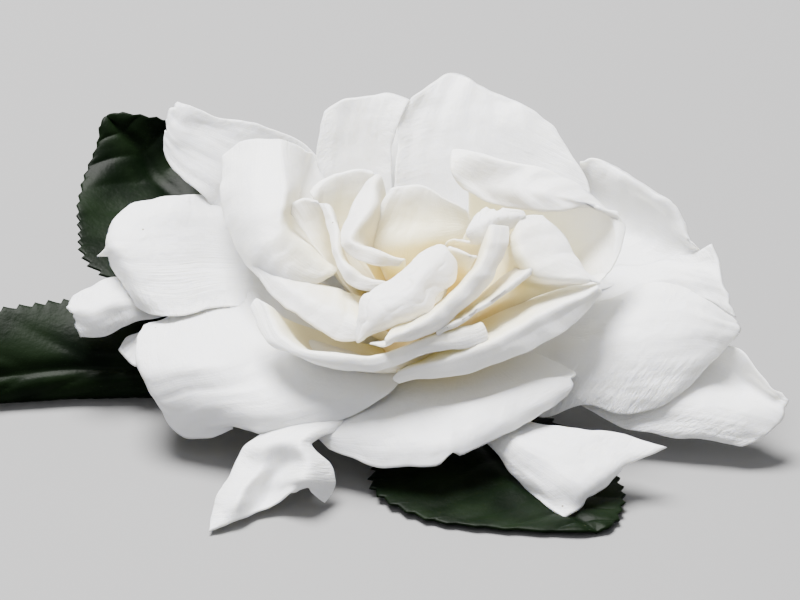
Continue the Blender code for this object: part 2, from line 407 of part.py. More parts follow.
def leaf_grid(leaf, across, along):
    """The middle layer of a leaf over the table, with saw teeth along its margins that point to its tip."""
    grid, _ = sheet_between(leaf.rows, leaf.tip, across, along)
    start = along * leaf.teeth_from // (len(leaf.rows) + 1)
    for row in range(start, along):
        depth = TOOTH_DEPTH * (row % 2) * min(1, (along - row) / 4)
        for side, inner in ((0, 1), (across, across - 1)):
            out = grid[row, side] - grid[row, inner]
            grid[row, side] += depth * out / np.linalg.norm(out)
    grid[..., 2] = np.maximum(grid[..., 2], LEAF_THICKNESS / 2)
    return grid


def blade_mesh(name, grid, thickness):
    """A closed blade of even thickness round a grid, split into triangles alike on both faces."""
    rows, columns = grid.shape[:2]
    pointed = ends_in_tip(grid)
    offset = grid_normals(grid) * thickness / 2
    mesh = bpy.data.meshes.new(name)
    bm = bmesh.new()
    faces = []
    for side in (1, -1):
        layer = [[bm.verts.new(metres(point)) for point in line] for line in (grid + side * offset)[:-1]]
        end = (grid + side * offset)[-1]
        last = [bm.verts.new(metres(point)) for point in (end[:1] if pointed else end)]
        faces.append(layer + [last * columns if pointed else last])
    top, bottom = faces
    for i in range(rows - 1):
        for j in range(columns - 1):
            for a, b, c in (((i, j), (i, j + 1), (i + 1, j + 1)), ((i, j), (i + 1, j + 1), (i + 1, j))):
                if top[b[0]][b[1]] is top[c[0]][c[1]]:
                    continue
                bm.faces.new([top[r][k] for r, k in (a, b, c)])
                bm.faces.new([bottom[r][k] for r, k in (c, b, a)])
    rim = [(0, j) for j in range(columns)] + [(i, columns - 1) for i in range(1, rows)]
    if not pointed:
        rim += [(rows - 1, j) for j in range(columns - 2, -1, -1)]
    rim += [(i, 0) for i in range(rows - 2, 0, -1)]
    for a, b in zip(rim, rim[1:] + rim[:1]):
        bm.faces.new((top[b[0]][b[1]], top[a[0]][a[1]], bottom[a[0]][a[1]]))
        bm.faces.new((top[b[0]][b[1]], bottom[a[0]][a[1]], bottom[b[0]][b[1]]))
    bm.normal_update()
    bm.to_mesh(mesh)
    bm.free()
    return mesh


def rings_mesh(name, rings):
    """A closed solid through rings with the same number of points."""
    mesh = bpy.data.meshes.new(name)
    bm = bmesh.new()
    loops = [[bm.verts.new(metres(point)) for point in ring] for ring in rings]
    for low, high in zip(loops, loops[1:]):
        for j in range(len(low)):
            k = (j + 1) % len(low)
            bm.faces.new((low[j], low[k], high[k], high[j]))
    bm.faces.new(loops[0][::-1])
    bm.faces.new(loops[-1])
    bmesh.ops.recalc_face_normals(bm, faces=bm.faces)
    bm.to_mesh(mesh)
    bm.free()
    return mesh


def turned_rings(profile, sides):
    """Rings about the flower's axis for a profile of radii and heights."""
    turns = [2 * pi * k / sides for k in range(sides)]
    return [flower_to_table([(r * cos(t), r * sin(t), height) for t in turns]) for r, height in profile]


def tube_rings(path, radius, sides):
    """Rings round a path that runs mostly along +Y, with a flat wherever they reach the surface."""
    path = np.asarray(path, float)
    knots = np.concatenate([[0], np.cumsum(np.linalg.norm(np.diff(path, axis=0), axis=1))])
    centre = spline(path, knots, np.linspace(0, knots[-1], STEM_STATIONS))
    rings = []
    for point, run in zip(centre, np.gradient(centre, axis=0)):
        run = run / np.linalg.norm(run)
        aside = np.array((1.0, 0.0, 0.0))
        upright = np.cross(aside, run)
        ring = [point + radius * (aside * sin(t) + upright * cos(t))
                for t in (2 * pi * (k + 0.5) / sides for k in range(sides))]
        rings.append([(x, y, max(z, 0.0)) for x, y, z in ring])
    return rings


def material(name, color, roughness):
    """A Principled material of one colour."""
    made = bpy.data.materials.new(name)
    made.use_nodes = True
    shader = made.node_tree.nodes["Principled BSDF"]
    shader.inputs["Base Color"].default_value = (*color, 1)
    shader.inputs["Roughness"].default_value = roughness
    shader.inputs["Metallic"].default_value = 0
    return made


def add_object(name, mesh):
    """An object at the origin that shows a mesh."""
    obj = bpy.data.objects.new(name, mesh)
    bpy.context.scene.collection.objects.link(obj)
    return obj


def fuse(name, meshes, finish):
    """One object that joins several meshes, with sealed hollows filled and loose scraps dropped."""
    body = add_object(name, meshes[0])
    others = bpy.data.collections.new(name + "_joined")
    bpy.context.scene.collection.children.link(others)
    for mesh in meshes[1:]:
        others.objects.link(bpy.data.objects.new(mesh.name, mesh))
    join = body.modifiers.new("join", "BOOLEAN")
    join.operation = "UNION"
    join.solver = "MANIFOLD"
    join.operand_type = "COLLECTION"
    join.collection = others
    graph = bpy.context.evaluated_depsgraph_get()
    joined = bpy.data.meshes.new_from_object(body.evaluated_get(graph))
    body.modifiers.remove(join)
    for obj in list(others.objects):
        bpy.data.objects.remove(obj)
    bpy.data.collections.remove(others)
    keep_outer_shell(joined)
    body.data = joined
    joined.name = name
    joined.materials.clear()
    joined.materials.append(finish)
    return body


def keep_outer_shell(mesh):
    """Leaves only the connected surface that encloses the most space."""
    bm = bmesh.new()
    bm.from_mesh(mesh)
    bmesh.ops.triangulate(bm, faces=bm.faces)
    unseen = set(bm.faces)
    shells = []
    while unseen:
        shell = []
        front = [unseen.pop()]
        while front:
            face = front.pop()
            shell.append(face)
            for edge in face.edges:
                for other in edge.link_faces:
                    if other in unseen:
                        unseen.remove(other)
                        front.append(other)
        shells.append(shell)

    def space(shell):
        return sum(f.verts[0].co.dot(f.verts[1].co.cross(f.verts[2].co)) for f in shell)

    shells.sort(key=space)
    bmesh.ops.delete(bm, geom=[face for shell in shells[:-1] for face in shell], context="FACES")
    bm.to_mesh(mesh)
    bm.free()


def make_bloom():
    """The petals in their layers, their roots sunk in the heart's core, which runs down into the tube."""
    core = rings_mesh("core", turned_rings(CORE_PROFILE, CORE_SIDES))
    meshes = [core]
    for name, petal in PETALS.items():
        across, along = PETAL_GRIDS[name.split("_")[0]]
        meshes.append(blade_mesh(name, petal_grid(petal, across, along), PETAL_THICKNESS))
    return fuse("bloom", meshes, material("petal_white", (0.87, 0.85, 0.78), 0.5))


def make_sepal(heading):
    """One narrow lobe of the calyx, spreading under the petals."""
    turn = radians(heading)
    outward = np.array((cos(turn), sin(turn), 0))
    aside = np.array((-sin(turn), cos(turn), 0)) * SEPAL_WIDTH / 2
    rows = []
    for reach, height, share in ((2.2, -4.6, 1.0), (5.0, -3.2, 1.0), (9.0, -2.2, 0.8)):
        middle = outward * reach + np.array((0, 0, height))
        rows.append((middle + aside * share, middle, middle - aside * share))
    tip = outward * SEPAL_REACH + np.array((0, 0, -1.7))
    grid, _ = sheet_between(rows, tip, 2, 5)
    return blade_mesh("sepal", flower_to_table(grid), PETAL_THICKNESS)


def make_stem():
    """The calyx with its sepals, and the short cut stem that bends back and lies on the surface."""
    top = TUBE_END - CALYX_GAP
    profile = [(0.75 * CALYX_RADIUS, top - CALYX_LENGTH), (0.95 * CALYX_RADIUS, top - 0.6 * CALYX_LENGTH),
               (CALYX_RADIUS, top - 0.2 * CALYX_LENGTH), (CALYX_RADIUS, top)]
    calyx = rings_mesh("calyx", turned_rings(profile, STEM_SIDES))
    tube = rings_mesh("tube", tube_rings(STEM_PATH, STEM_RADIUS, STEM_SIDES))
    sepals = [make_sepal(FIRST_SEPAL + 360 * k / SEPALS) for k in range(SEPALS)]
    return fuse("stem", [tube, calyx] + sepals, material("stem_green", (0.16, 0.24, 0.07), 0.6))


def make_leaf(name, leaf):
    """One leaf on its short stalk, folded along its midrib."""
    grid = leaf_grid(leaf, *LEAF_GRID)
    obj = add_object(name, blade_mesh(name, grid, LEAF_THICKNESS))
    obj.data.materials.append(material(name + "_green", (0.02, 0.06, 0.015), 0.3))
    return obj


def main():
    for obj in list(bpy.data.objects):
        bpy.data.objects.remove(obj)
    make_bloom()
    make_stem()
    for name, leaf in LEAVES.items():
        make_leaf(name, leaf)


main()
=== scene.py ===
"""A fully double gardenia bloom lying face up on a pale floor: fine petals, calyx, short stem and leaves.

Sizes are in millimetres. The leaves, the stem and the camera are given over the table top: +X to the right
of the bloom, +Y to its back and +Z up, with zero under the stem's bend. ORIGIN is where the part's own
origin lies there. The petals, the heart and the calyx are given in the flower's own frame, with zero where
the petals leave the tube: right, back along the bloom, and up the flower's axis.
"""

from collections import namedtuple
from math import cos, pi, radians, sin

import bmesh
import bpy
import numpy as np
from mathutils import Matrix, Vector, noise


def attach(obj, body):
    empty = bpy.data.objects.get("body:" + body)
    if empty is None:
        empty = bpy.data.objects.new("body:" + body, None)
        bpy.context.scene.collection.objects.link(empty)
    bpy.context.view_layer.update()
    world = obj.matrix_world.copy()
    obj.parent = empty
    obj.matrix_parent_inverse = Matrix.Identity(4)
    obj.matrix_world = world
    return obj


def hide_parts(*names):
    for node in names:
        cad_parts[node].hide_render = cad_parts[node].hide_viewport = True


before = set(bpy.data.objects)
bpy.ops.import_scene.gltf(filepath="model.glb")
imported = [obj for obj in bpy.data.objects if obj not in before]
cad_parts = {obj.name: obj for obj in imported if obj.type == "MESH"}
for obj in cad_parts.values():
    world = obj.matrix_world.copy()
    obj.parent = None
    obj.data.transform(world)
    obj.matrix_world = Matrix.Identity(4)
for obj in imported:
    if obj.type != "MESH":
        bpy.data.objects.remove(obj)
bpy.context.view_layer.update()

MM = 0.001
ORIGIN = (-15.4, -1.35, 0.0)
BODY = "root"
TINY = 1e-9

# Camera: its place over the table, how many degrees it looks down, its lens and its sensor's width
EYE = (-2.668, -316.631, 167.672)
LOOK_DOWN = 26.0
LENS = 113.31
SENSOR = 36.0

# The flower's own frame: its zero over the table, and how many degrees its axis leans to the front
BLOOM_BASE = (0.0, -7.0, 9.0)
BLOOM_TILT = 20.0

# Blades: where the columns next to a margin lie, how much of half a narrow row they take at most, how far
# from its margin a blade starts to round off, in thicknesses, and how softly it turns up over the floor
EDGE_STEPS = (0.0, 0.05, 0.15, 0.35)
EDGE_SHARE = 0.4
ROUNDING = 0.7
FLOOR_SOFTNESS = 0.4

# Petals: where they start to roll on the way to a margin, how square their corners are, how fast the roll
# sets in from the middle to the sides, and where along a petal its nibs start
PETAL_THICKNESS = 0.32
PETAL_COLUMNS = 60
PETAL_ROWS = 84
LIP_START = 0.6
CORNER_POWER = 4
SIDE_ROLL = 1.5
NIBS_START = 0.85

# Layers of unevenness: how long their features are, how high, and how their seed differs from the petal's.
# FREE is where along a petal they set in and are full, and MARGIN_POWER keeps the margin's waves near it.
SWELLS = ((11.0, 0.4, 0), (4.0, 0.16, 40))
FOLDS = ((2.4, 0.2, 0), (1.0, 0.06, 20))
CRUMPLES = ((1.5, 0.04, 60),)
MARGIN_WAVES = ((5.0, 0.4, 0), (2.2, 0.2, 10))
FREE = (0.125, 0.75)
MARGIN_POWER = 3

# How far a step of the seed moves a pattern, what creases add to the seed, and what wander adds for each way
SEED_STEP = np.array((7.31, 3.17, 5.53))
FOLD_SEED_STEP = 3.3
CREASE_SEED = 80
COARSE_CREASE_SEED = 5
WANDER_SEEDS = (120, 160, 200)

# Folds are this many times as long as wide. Creases are this narrow, and this deep on the whole.
FOLD_LENGTH = 7
CREASE_NARROWNESS = 4
CREASE_LEVEL = 0.6

# Where along a petal its crinkles set in and are full, and how close they keep to its sides
CRINKLED = (0.2, 8 / 15)
CRINKLE_POWER = 1.5

# The heart's colour: its middle, how far it reaches, how it fades on that way and to a petal's end, how
# much of it a petal edge on to the heart takes, how much facing the heart adds, and the least and the most
HEART = (-0.7, -1.2, 7.0)
HEART_REACH = 30.0
HEART_FADE = 0.6
END_FADE = 0.65
EDGE_ON = 0.75
FACING = 0.6
GLOW_RANGE = (0.3, 1.3)

# The clefts' amber, partly the heart's own warm tint and partly painted shade deep under the rims:
# their middle, the height they start under, how far down it is full, how it fades aside, and how strong it is
CLEFTS = (2.0, 1.0)
CLEFT_TOP = 15.0
CLEFT_DEPTH = 3.5
CLEFT_LEVEL = 1.35
CLEFT_SPREAD = 10.0
CLEFT_TINT_AND_SHADE = 0.45

# How high the patterns in the petals' skin stand beside each other
SKIN_VEINS = 0.22
SKIN_CREPE = 0.4
SKIN_SWELL = 0.6
SKIN_CRINKLES = 7.5
SKIN_PLEATS = 2.2

# Specks on the petals: how many lie along a metre, and how large they are beside the way between two
SPECKS_PER_METRE = 150.0
SPECK_EDGE = (0.018, 0.03)

# A petal leaves the heart at a heading in degrees, at a radius and height, and its root is twice as wide as
# that radius. Each of its rows runs from its left margin to its right one, seen from inside the flower, in
# three points or, where it bends more, in five. A petal with a tip ends there, and one without it ends
# along its last row, which nibs make uneven: where they are from -1 to 1, how far they stand out and how
# wide they are. lip is how far the left, right and end margins roll outwards, floor is the lowest that its
# middle layer goes, creases tells how far apart and how deep its creases are, and cream how much of the
# heart's colour it takes. crinkle is how much its left and right margins are crinkled, and pleats are where
# fine pleats fan out: their middle across and along the petal, and how far they spread each way.
Petal = namedtuple("Petal", "heading radius height rows tip lip nibs floor creases cream crinkle pleats",
                   defaults=(None, (0, 0, 0), (), 0.3, (3.0, 0.05), 0.9, (0.15, 0.15), None))

PETALS = {
    "outer_left": Petal(187, 4, 0, [
        ((-24, 7, 0.5), (-24.5, 11, 1), (-25, 15, 1)),
        ((-37.5, 5, 1), (-37.8, 6.6, 2), (-38.5, 7.6, 2.5), (-39, 9.6, 2.5), (-39.5, 11.5, 2)),
        ((-40.8, 3.4, 1), (-41.8, 4.4, 3), (-42.5, 5.4, 4), (-43, 7.8, 3.5), (-43.2, 11.6, 2.5)),
        ((-43.5, 1.6, 0.8), (-44.6, 2.4, 3), (-45.4, 3.8, 4), (-46, 6.2, 3.5), (-46, 9.8, 2.5)),
        ((-47, 1.8, 0.8), (-47.5, 3, 2), (-48.5, 4.2, 3), (-48.8, 5.8, 3), (-48.4, 7.8, 2.5)),
    ], nibs=((-0.6, 0.5, 0.12), (-0.1, -0.4, 0.1), (0.3, 0.3, 0.1)), cream=0.1),
    "outer_left_under": Petal(200, 4, -0.5, [
        ((-20, 0, -0.5), (-20.5, 3, 0), (-21, 6, 0)),
        ((-31, 0, -1), (-32, 2.6, -0.8), (-33, 5.4, -0.6)),
        ((-37.6, -0.2, -1.4), (-39, 1.4, -1.4), (-40.6, 3.8, -1.4)),
        ((-39, -1.4, -1.8), (-40.2, -0.6, -1.8), (-41.8, 1.6, -1.7)),
    ], cream=0.1),
    "outer_front_left": Petal(232, 4, 0, [
        ((-6, -15, 3), (-10, -14, 4), (-15, -13, 3)),
        ((-14, -22, 6), (-15.6, -22.6, 7.2), (-17.6, -22, 6.4), (-20.4, -22, 5.8), (-22.4, -20, 4)),
        ((-11.8, -24, 4.4), (-14.6, -26, 6.8), (-17.6, -24, 4.4), (-21, -25, 4.8), (-24, -23, 3.6)),
        ((-11, -26.2, 3), (-15, -28.6, 6.6), (-19.4, -26.4, 3.2), (-23, -29.2, 5.2), (-26, -27.6, 3.2)),
        ((-11.4, -27.2, 2), (-15, -29, 5.8), (-19.8, -28, 2.6), (-23.6, -31.8, 5.2), (-26.8, -30, 3)),
        ((-12.4, -29.2, 2), (-15.4, -29, 4.8), (-20.2, -31, 2.6), (-23.8, -33.6, 3.8), (-27, -35.2, 4)),
    ], nibs=((-0.62, -0.4, 0.05), (-0.45, 0.4, 0.05)), cream=0.1, crinkle=(0.4, 0.2)),
    "outer_front_right": Petal(305, 4, 0, [
        ((12, -12, 2), (9, -14, 2.5), (6, -15, 2)),
        ((14.6, -15.8, 3), (13.4, -18.6, 4), (12.4, -20.4, 4.4), (11, -21, 3.4), (9.6, -20.2, 2.2)),
        ((20.4, -18.4, 4.4), (18.4, -21.4, 5), (16.2, -23.8, 5), (14, -24.8, 3.6), (11.8, -23.8, 1.8)),
        ((26.2, -19.4, 5), (23.4, -23.2, 5.4), (20.4, -26.8, 5.4), (17, -28.4, 4), (14.4, -26.6, 1.4)),
        ((29.6, -21.4, 5.4), (25.6, -25, 5.4), (22, -28.4, 5.2), (19, -30.2, 3.6), (16, -29.4, 2)),
        ((32.2, -22.8, 5.8), (27.2, -25, 5), (23, -28.6, 4), (20, -31.2, 3), (18.4, -32.8, 2.8)),
    ], nibs=((-0.5, -0.5, 0.12), (-0.12, 0.4, 0.1), (0.2, -0.4, 0.08)), floor=0.9, cream=0.1),
    "outer_right": Petal(340, 4, 0, [
        ((24, -1, 1), (21, -4, 1), (18, -8, 1)),
        ((37, -2.8, 4), (34, -3.6, 0.8), (29.8, -8.8, 1.6), (25.6, -11, 1), (22.4, -11.2, 0.6)),
        ((43, -4.2, 5), (40, -5.6, 1.8), (35.6, -11.4, 2.6), (31.4, -13.6, 1.2), (27.4, -14.4, 0.2)),
        ((45.4, -8.2, 4.8), (43.8, -7.8, 1.6), (40.2, -13, 2.6), (36.8, -15, 1.6), (33.8, -16, 0.2)),
        ((47.2, -10.6, 4), (46.8, -11, 2.4), (44.4, -14.2, 2.6), (42, -16.2, 1.4), (39.4, -17, 0.2)),
        ((48.8, -10.8, 3.2), (49.2, -12.6, 2.8), (48, -15, 2), (45.8, -16.8, 1), (43, -17.8, 0.4)),
    ], nibs=((-0.75, 0.4, 0.12), (-0.4, -0.3, 0.1)), cream=0.1, crinkle=(0.1, 1)),
    "wide_left": Petal(172, 4, 1, [
        ((-17, 2.5, 4), (-19, 12, 3), (-19, 20, 4)),
        ((-27, 3.6, 5), (-27.4, 6.8, 5), (-28.6, 12, 5), (-29.2, 17, 6), (-29.4, 23.2, 7)),
        ((-32.4, 1.6, 5), (-33, 4.6, 5.4), (-34.4, 10, 6.6), (-34.6, 15.6, 7.4), (-34.4, 22.6, 8)),
        ((-37, 3.4, 4), (-38.2, 5.4, 5.4), (-39.4, 9.6, 7), (-39.6, 14.4, 8), (-39, 21.8, 8)),
        ((-39.6, 6.2, 2.8), (-40.8, 8.4, 4.8), (-41.8, 10.8, 6.8), (-42.6, 14, 7.8), (-41.8, 19.8, 7.6)),
        ((-40.4, 8.6, 1.6), (-41.6, 10.4, 3), (-43.8, 13.2, 4), (-43.8, 14.2, 7), (-42.8, 17.8, 7)),
    ], nibs=((0.2, 3.0, 0.06), (0.02, -0.6, 0.08)), creases=(2.4, 0.12), cream=0.3, crinkle=(0.5, 0.1),
       pleats=(-0.3, 0.5, 0.4, 0.22)),
    "wide_front_left": Petal(215, 4, 1, [
        ((-1, -8, 4), (-8, -6, 4), (-17, 4, 4)),
        ((-2, -10, 5.6), (-6.6, -7, 5.6), (-13.8, -4.8, 6), (-19, -1, 6), (-22.8, 6.8, 4.2)),
        ((-4.8, -14.2, 6), (-11.2, -13.4, 7), (-18, -9.4, 7), (-23.6, -4.4, 7), (-27.2, 5.6, 4)),
        ((-12, -18.2, 5), (-17.8, -16.8, 6.6), (-24, -13, 7), (-28.4, -7.4, 7.6), (-31.4, 4.8, 3.6)),
        ((-19.2, -18.8, 4), (-24.4, -16.8, 5.6), (-30, -13, 6), (-33.6, -8.4, 7), (-34.6, 3, 3.4)),
        ((-24.2, -15.8, 2.6), (-29.2, -15.6, 2), (-34.6, -13, 4), (-37.2, -8, 5.6), (-37, 2.4, 3)),
        ((-25, -16.8, 1), (-32.2, -15.4, -0.4), (-36, -10.8, 2.6), (-38.4, -5.6, 4.6), (-38.2, 1.6, 3)),
    ], nibs=((-1.0, -1.1, 0.16),), cream=0.3, crinkle=(0.1, 0.25)),
    "wide_front": Petal(278, 4, 1, [
        ((14, -4, 4), (4, -7, 3), (-4, -11, 4)),
        ((20.6, -9.6, 6), (12.8, -12, 5.6), (2.6, -14.8, 5.2), (-6.6, -16.4, 5), (-14.2, -17.8, 4.6)),
        ((20, -11.4, 7), (14.4, -12.6, 6.8), (4, -18, 6.4), (-6, -19.6, 5.6), (-15, -19, 4.6)),
        ((20.2, -12.4, 6.6), (13.2, -17, 6.6), (4.6, -22.2, 6.4), (-4.6, -22.8, 5.4), (-13.8, -19.6, 4.2)),
        ((19.4, -13.6, 5.8), (13, -18.8, 5.6), (3.8, -24.6, 5.4), (-3.8, -25, 4.6), (-12, -21.2, 3.8)),
    ], nibs=((0.1, 0.35, 0.07), (0.0, -0.9, 0.05), (-0.1, 0.35, 0.07)), cream=0.3),
    "wide_right": Petal(355, 4, 1, [
        ((20, 5, 4), (17, -1, 3), (13, -7, 3)),
        ((26.4, 4.4, 5.6), (23.4, 0, 5), (20.8, -4.2, 4.6), (18.4, -8.4, 3), (15.4, -13.8, 2)),
        ((31.8, 5.4, 7.6), (30, 0, 7.6), (27.2, -5, 6.6), (24.2, -9.4, 4.6), (22, -12.4, 2.4)),
        ((36.4, 4, 8), (36, -0.4, 8), (33.4, -5.6, 7), (30.2, -9.8, 5), (27, -13.8, 2.4)),
        ((40, 1, 7.6), (40, -1.8, 7.6), (38.4, -5, 6.6), (35.2, -9.2, 5), (31.4, -13, 2.8)),
        ((42.8, 0, 6.6), (43.8, -1.8, 6.2), (41.6, -4.8, 5.4), (38.4, -7.8, 4.4), (35, -10.4, 3.2)),
    ], nibs=((-0.85, 0.4, 0.1),), cream=0.3, crinkle=(0.1, 1)),
    "wide_back_right": Petal(42, 4, 1, [
        ((14, 16, 4), (18, 12, 4), (22, 6, 4)),
        ((22.4, 25.6, 6), (26, 21.6, 5), (30, 17.6, 5), (33.2, 14.4, 5), (38.6, 12, 6.2)),
        ((22.8, 26.6, 8.6), (26.4, 24.2, 9), (30.6, 21, 8.8), (34.4, 18, 8.2), (37.8, 12.8, 8)),
        ((22.8, 26.2, 10.4), (26.2, 25, 11.4), (30, 21.2, 11), (34, 18, 10.6), (37.4, 16.2, 9.6)),
    ], lip=(0.3, 0, 1.5), nibs=((-1.0, -0.9, 0.14), (0.92, 0.6, 0.06)), cream=0.3),
    "wide_back_left": Petal(142, 4, 1, [
        ((-17, 13, 4), (-15, 20, 4), (-10, 24, 6)),
        ((-28, 20.6, 6), (-24.8, 23.6, 6.6), (-22, 26.2, 7.6), (-19.2, 28.4, 8.6), (-16.2, 30.6, 10)),
        ((-30.4, 22.6, 7.6), (-29, 24.6, 8.6), (-27.2, 27.2, 9.6), (-25, 29.8, 11), (-22.4, 32, 12.6)),
        ((-33.6, 25, 9), (-33, 27.2, 10), (-32, 29.2, 11), (-30.4, 32, 12), (-28.8, 33.4, 13.2)),
        ((-35.8, 27.8, 10), (-35.4, 29.2, 11), (-34.8, 30.2, 12), (-34, 32.4, 13), (-32.8, 34.6, 14)),
        ((-36.6, 29.4, 10.6), (-36.6, 31, 11.6), (-36.4, 32.4, 12.6), (-36, 34.2, 13.6), (-34.8, 35.6, 14.4)),
    ], nibs=((-0.12, -0.6, 0.06), (0.08, 0.3, 0.08), (0.75, -0.3, 0.08)), cream=0.3),
    "wide_back": Petal(103, 4, 1, [
        ((-12, 20, 6), (-8, 22, 6), (-3, 22, 6)),
        ((-14.4, 26.6, 9), (-12, 28.4, 9.6), (-9, 30, 9.6), (-6.2, 30.4, 9.6), (-3.8, 29.2, 9.6)),
        ((-14.4, 31.4, 11.6), (-11.6, 33, 12), (-8.6, 34, 12), (-5.6, 34.4, 12), (-2.8, 34, 12)),
        ((-13.8, 35, 13), (-11, 36.2, 13.6), (-7.6, 37.4, 13.8), (-4.4, 38.4, 13.8), (-1.2, 37.6, 13)),
    ], cream=0.3),
    "wide_back_tall": Petal(78, 4, 1, [
        ((-3.6, 20, 6), (8, 21, 6), (20, 17, 6)),
        ((-3.2, 27.2, 9.6), (1.6, 30.4, 9.6), (7.4, 30.8, 9.6), (14.6, 28.8, 9), (24.4, 23.2, 8)),
        ((-2.6, 34.2, 11.6), (2.4, 36.2, 11.6), (8.2, 36.4, 11.6), (14.6, 34, 11), (21.8, 29.8, 10)),
        ((-0.8, 38.4, 12.6), (4.8, 43.2, 13), (9, 40.8, 12.8), (14.4, 38, 12), (19.8, 33.4, 11)),
    ], cream=0.3),
    "wide_right_behind": Petal(18, 4, 1, [
        ((20, 11, 4), (22, 7, 3.6), (24, 3, 3.6)),
        ((32.4, 15, 4), (32.4, 12.6, 4.7), (33, 10, 5.6), (33.6, 7.6, 5.6), (35, 5.6, 5)),
        ((37.8, 12.6, 6), (38, 10.2, 6.4), (38.2, 8.2, 6.6), (38.8, 5.6, 6), (39.6, 3.8, 5.6)),
        ((40.6, 12.2, 8.6), (41.4, 9, 8), (41.8, 5.6, 7.6), (42.6, 2.8, 7), (43.2, 0.4, 6.2)),
    ], nibs=((0.3, 0.3, 0.15), (0.62, -0.3, 0.08)), cream=0.3),
    "cup_left": Petal(172, 3, 2, [
        ((-11.2, 6, 8.4), (-13.4, 10, 8), (-16.2, 14.6, 8.4), (-15.8, 20.4, 9), (-14.2, 27.8, 9)),
        ((-11, 3.8, 12.2), (-14.8, 7.6, 12.2), (-18, 10.6, 13), (-17, 18.8, 12.6), (-16.2, 27.2, 12.4)),
        ((-11.2, 2.6, 13), (-15, 4.8, 14.2), (-18.6, 8.4, 15.8), (-18.2, 15, 16.2), (-19, 26.2, 15.2)),
        ((-11.8, 1.8, 12.8), (-16.4, 3, 14.2), (-19.4, 6.4, 15.8), (-19.4, 14.8, 16.4), (-20.4, 26.6, 15.2)),
        ((-13.2, 1.2, 12.2), (-18, 1.8, 14.2), (-21.4, 5.4, 15.2), (-22.8, 15.4, 15.8), (-23, 27.2, 14.4)),
        ((-15.6, 0.4, 11.8), (-18.4, 0.2, 12.8), (-23, 5.2, 13.4), (-25.4, 15, 14.2), (-25.8, 28, 12.8)),
        ((-16.2, 0.2, 10.8), (-19.2, 0.4, 11), (-24.4, 6.8, 11.2), (-27.6, 16.4, 11.4), (-28, 27, 11.2)),
    ], nibs=((-0.1, 0.5, 0.06), (0.2, -0.3, 0.1), (0.45, 0.25, 0.06))),
    "cup_left_inside": Petal(178, 2, 2, [
        ((-9, 2, 9), (-11, 7, 9), (-9, 11, 9)),
        ((-17.6, 12.6, 13), (-16.2, 14, 14.6), (-13.4, 13.6, 14.6)),
        ((-18, 13.6, 12.8), (-17, 15, 14), (-14, 15, 14.2)),
    ]),
    "cup_front_left": Petal(218, 3, 2, [
        ((-5, -2, 7), (-11, 1, 6), (-17, 6, 7)),
        ((-7.4, -0.8, 11), (-10, 0.4, 11), (-12.8, 2, 11), (-16.4, 3.8, 11), (-20.4, 7.4, 11)),
        ((-7.4, -7.6, 13.6), (-10, -6, 13.6), (-13.6, -3.6, 13.6), (-18, 0, 13.4), (-21.6, 4.2, 13)),
        ((-8.2, -10, 12.8), (-11.4, -9.8, 12.8), (-16, -5.8, 12.8), (-20, -1.4, 12.4), (-22.8, 4, 12)),
    ]),
    "cup_front": Petal(256, 3, 2, [
        ((6.5, -4, 6), (1, -7.5, 5), (-6, -9, 5), (-12, -7, 5), (-16, -1, 6)),
        ((8, -6.8, 12.6), (1, -9.8, 12.8), (-7.2, -13.2, 12.8), (-16, -11.2, 12.8), (-20.6, -3.6, 12.6)),
        ((8.6, -8.4, 12.8), (1, -11.2, 12.8), (-7.2, -14.4, 12.8), (-17.6, -11.8, 12.8), (-21.8, -2.4, 12.4)),
        ((8.8, -9.8, 12), (1.2, -11.8, 12), (-7, -15, 11.8), (-19.2, -10.4, 11.8), (-22.6, -3.6, 11.8)),
    ]),
    "cup_right": Petal(330, 3, 2, [
        ((24.6, 7, 9), (19.4, 4.4, 8), (11, 0, 7.4), (3, -5, 6), (-3.2, -8.6, 5)),
        ((23.8, -2, 14.2), (18.6, -4.4, 13.8), (12.8, -7.8, 13), (6.8, -10.6, 11.6), (-2.6, -12.6, 9.6)),
        ((24.4, -2.2, 13.8), (20.2, -5.2, 13), (13.6, -9.2, 12.2), (7.8, -11.8, 11), (-3.6, -13.6, 9.2)),
        ((24.6, -2.4, 13.4), (21, -6.2, 12), (14.8, -10, 11), (8.4, -12.6, 9.8), (-2.8, -14, 8.4)),
    ]),
    "cup_right_flap": Petal(22, 3, 2, [
        ((11, 10.5, 10), (12, 6, 8.5), (15, 1, 9)),
        ((12.8, 7.3, 16), (12.6, 4.6, 16), (13.7, 1.6, 15.6), (16.2, -0.8, 14.8), (22.8, -1, 14.4)),
        ((14.2, 9.4, 16.4), (14.9, 6.1, 16.6), (16.8, 3.1, 16), (19.9, 0.8, 15.2), (23.4, -1, 14.6)),
        ((16.8, 10.2, 15.8), (18.7, 8.1, 15.4), (20.5, 5.1, 14.8), (22.2, 1.7, 14.3), (24.4, -1.2, 14.2)),
    ]),
    "cup_back_right": Petal(50, 3, 2, [
        ((6, 15, 6), (14, 12, 5), (19, 3, 7)),
        ((7, 20.4, 11), (14, 16.4, 10.6), (20, 13.8, 10), (24, 10.4, 10), (24.2, 2.4, 11.4)),
        ((5.8, 22.4, 14), (12.6, 19.4, 14.6), (19.6, 16.2, 14.6), (26, 11.8, 13.6), (26.4, 4, 12.4)),
        ((5, 23.6, 15.6), (12, 20.4, 16.2), (18.2, 18.2, 16.4), (24.2, 14.4, 15.6), (28.2, 9.2, 13.8)),
        ((4.4, 19.6, 15.2), (9, 18, 14), (14, 15.4, 16), (20.6, 13.2, 16.4), (27.4, 11.4, 15)),
        ((6, 17.5, 13.8), (11.2, 14.9, 13.4), (17.2, 11.5, 15.2), (23.4, 12.1, 15.6), (27.5, 11.7, 14.6)),
    ], nibs=((0.2, 0.4, 0.1),)),
    "cup_back": Petal(92, 2, 3, [
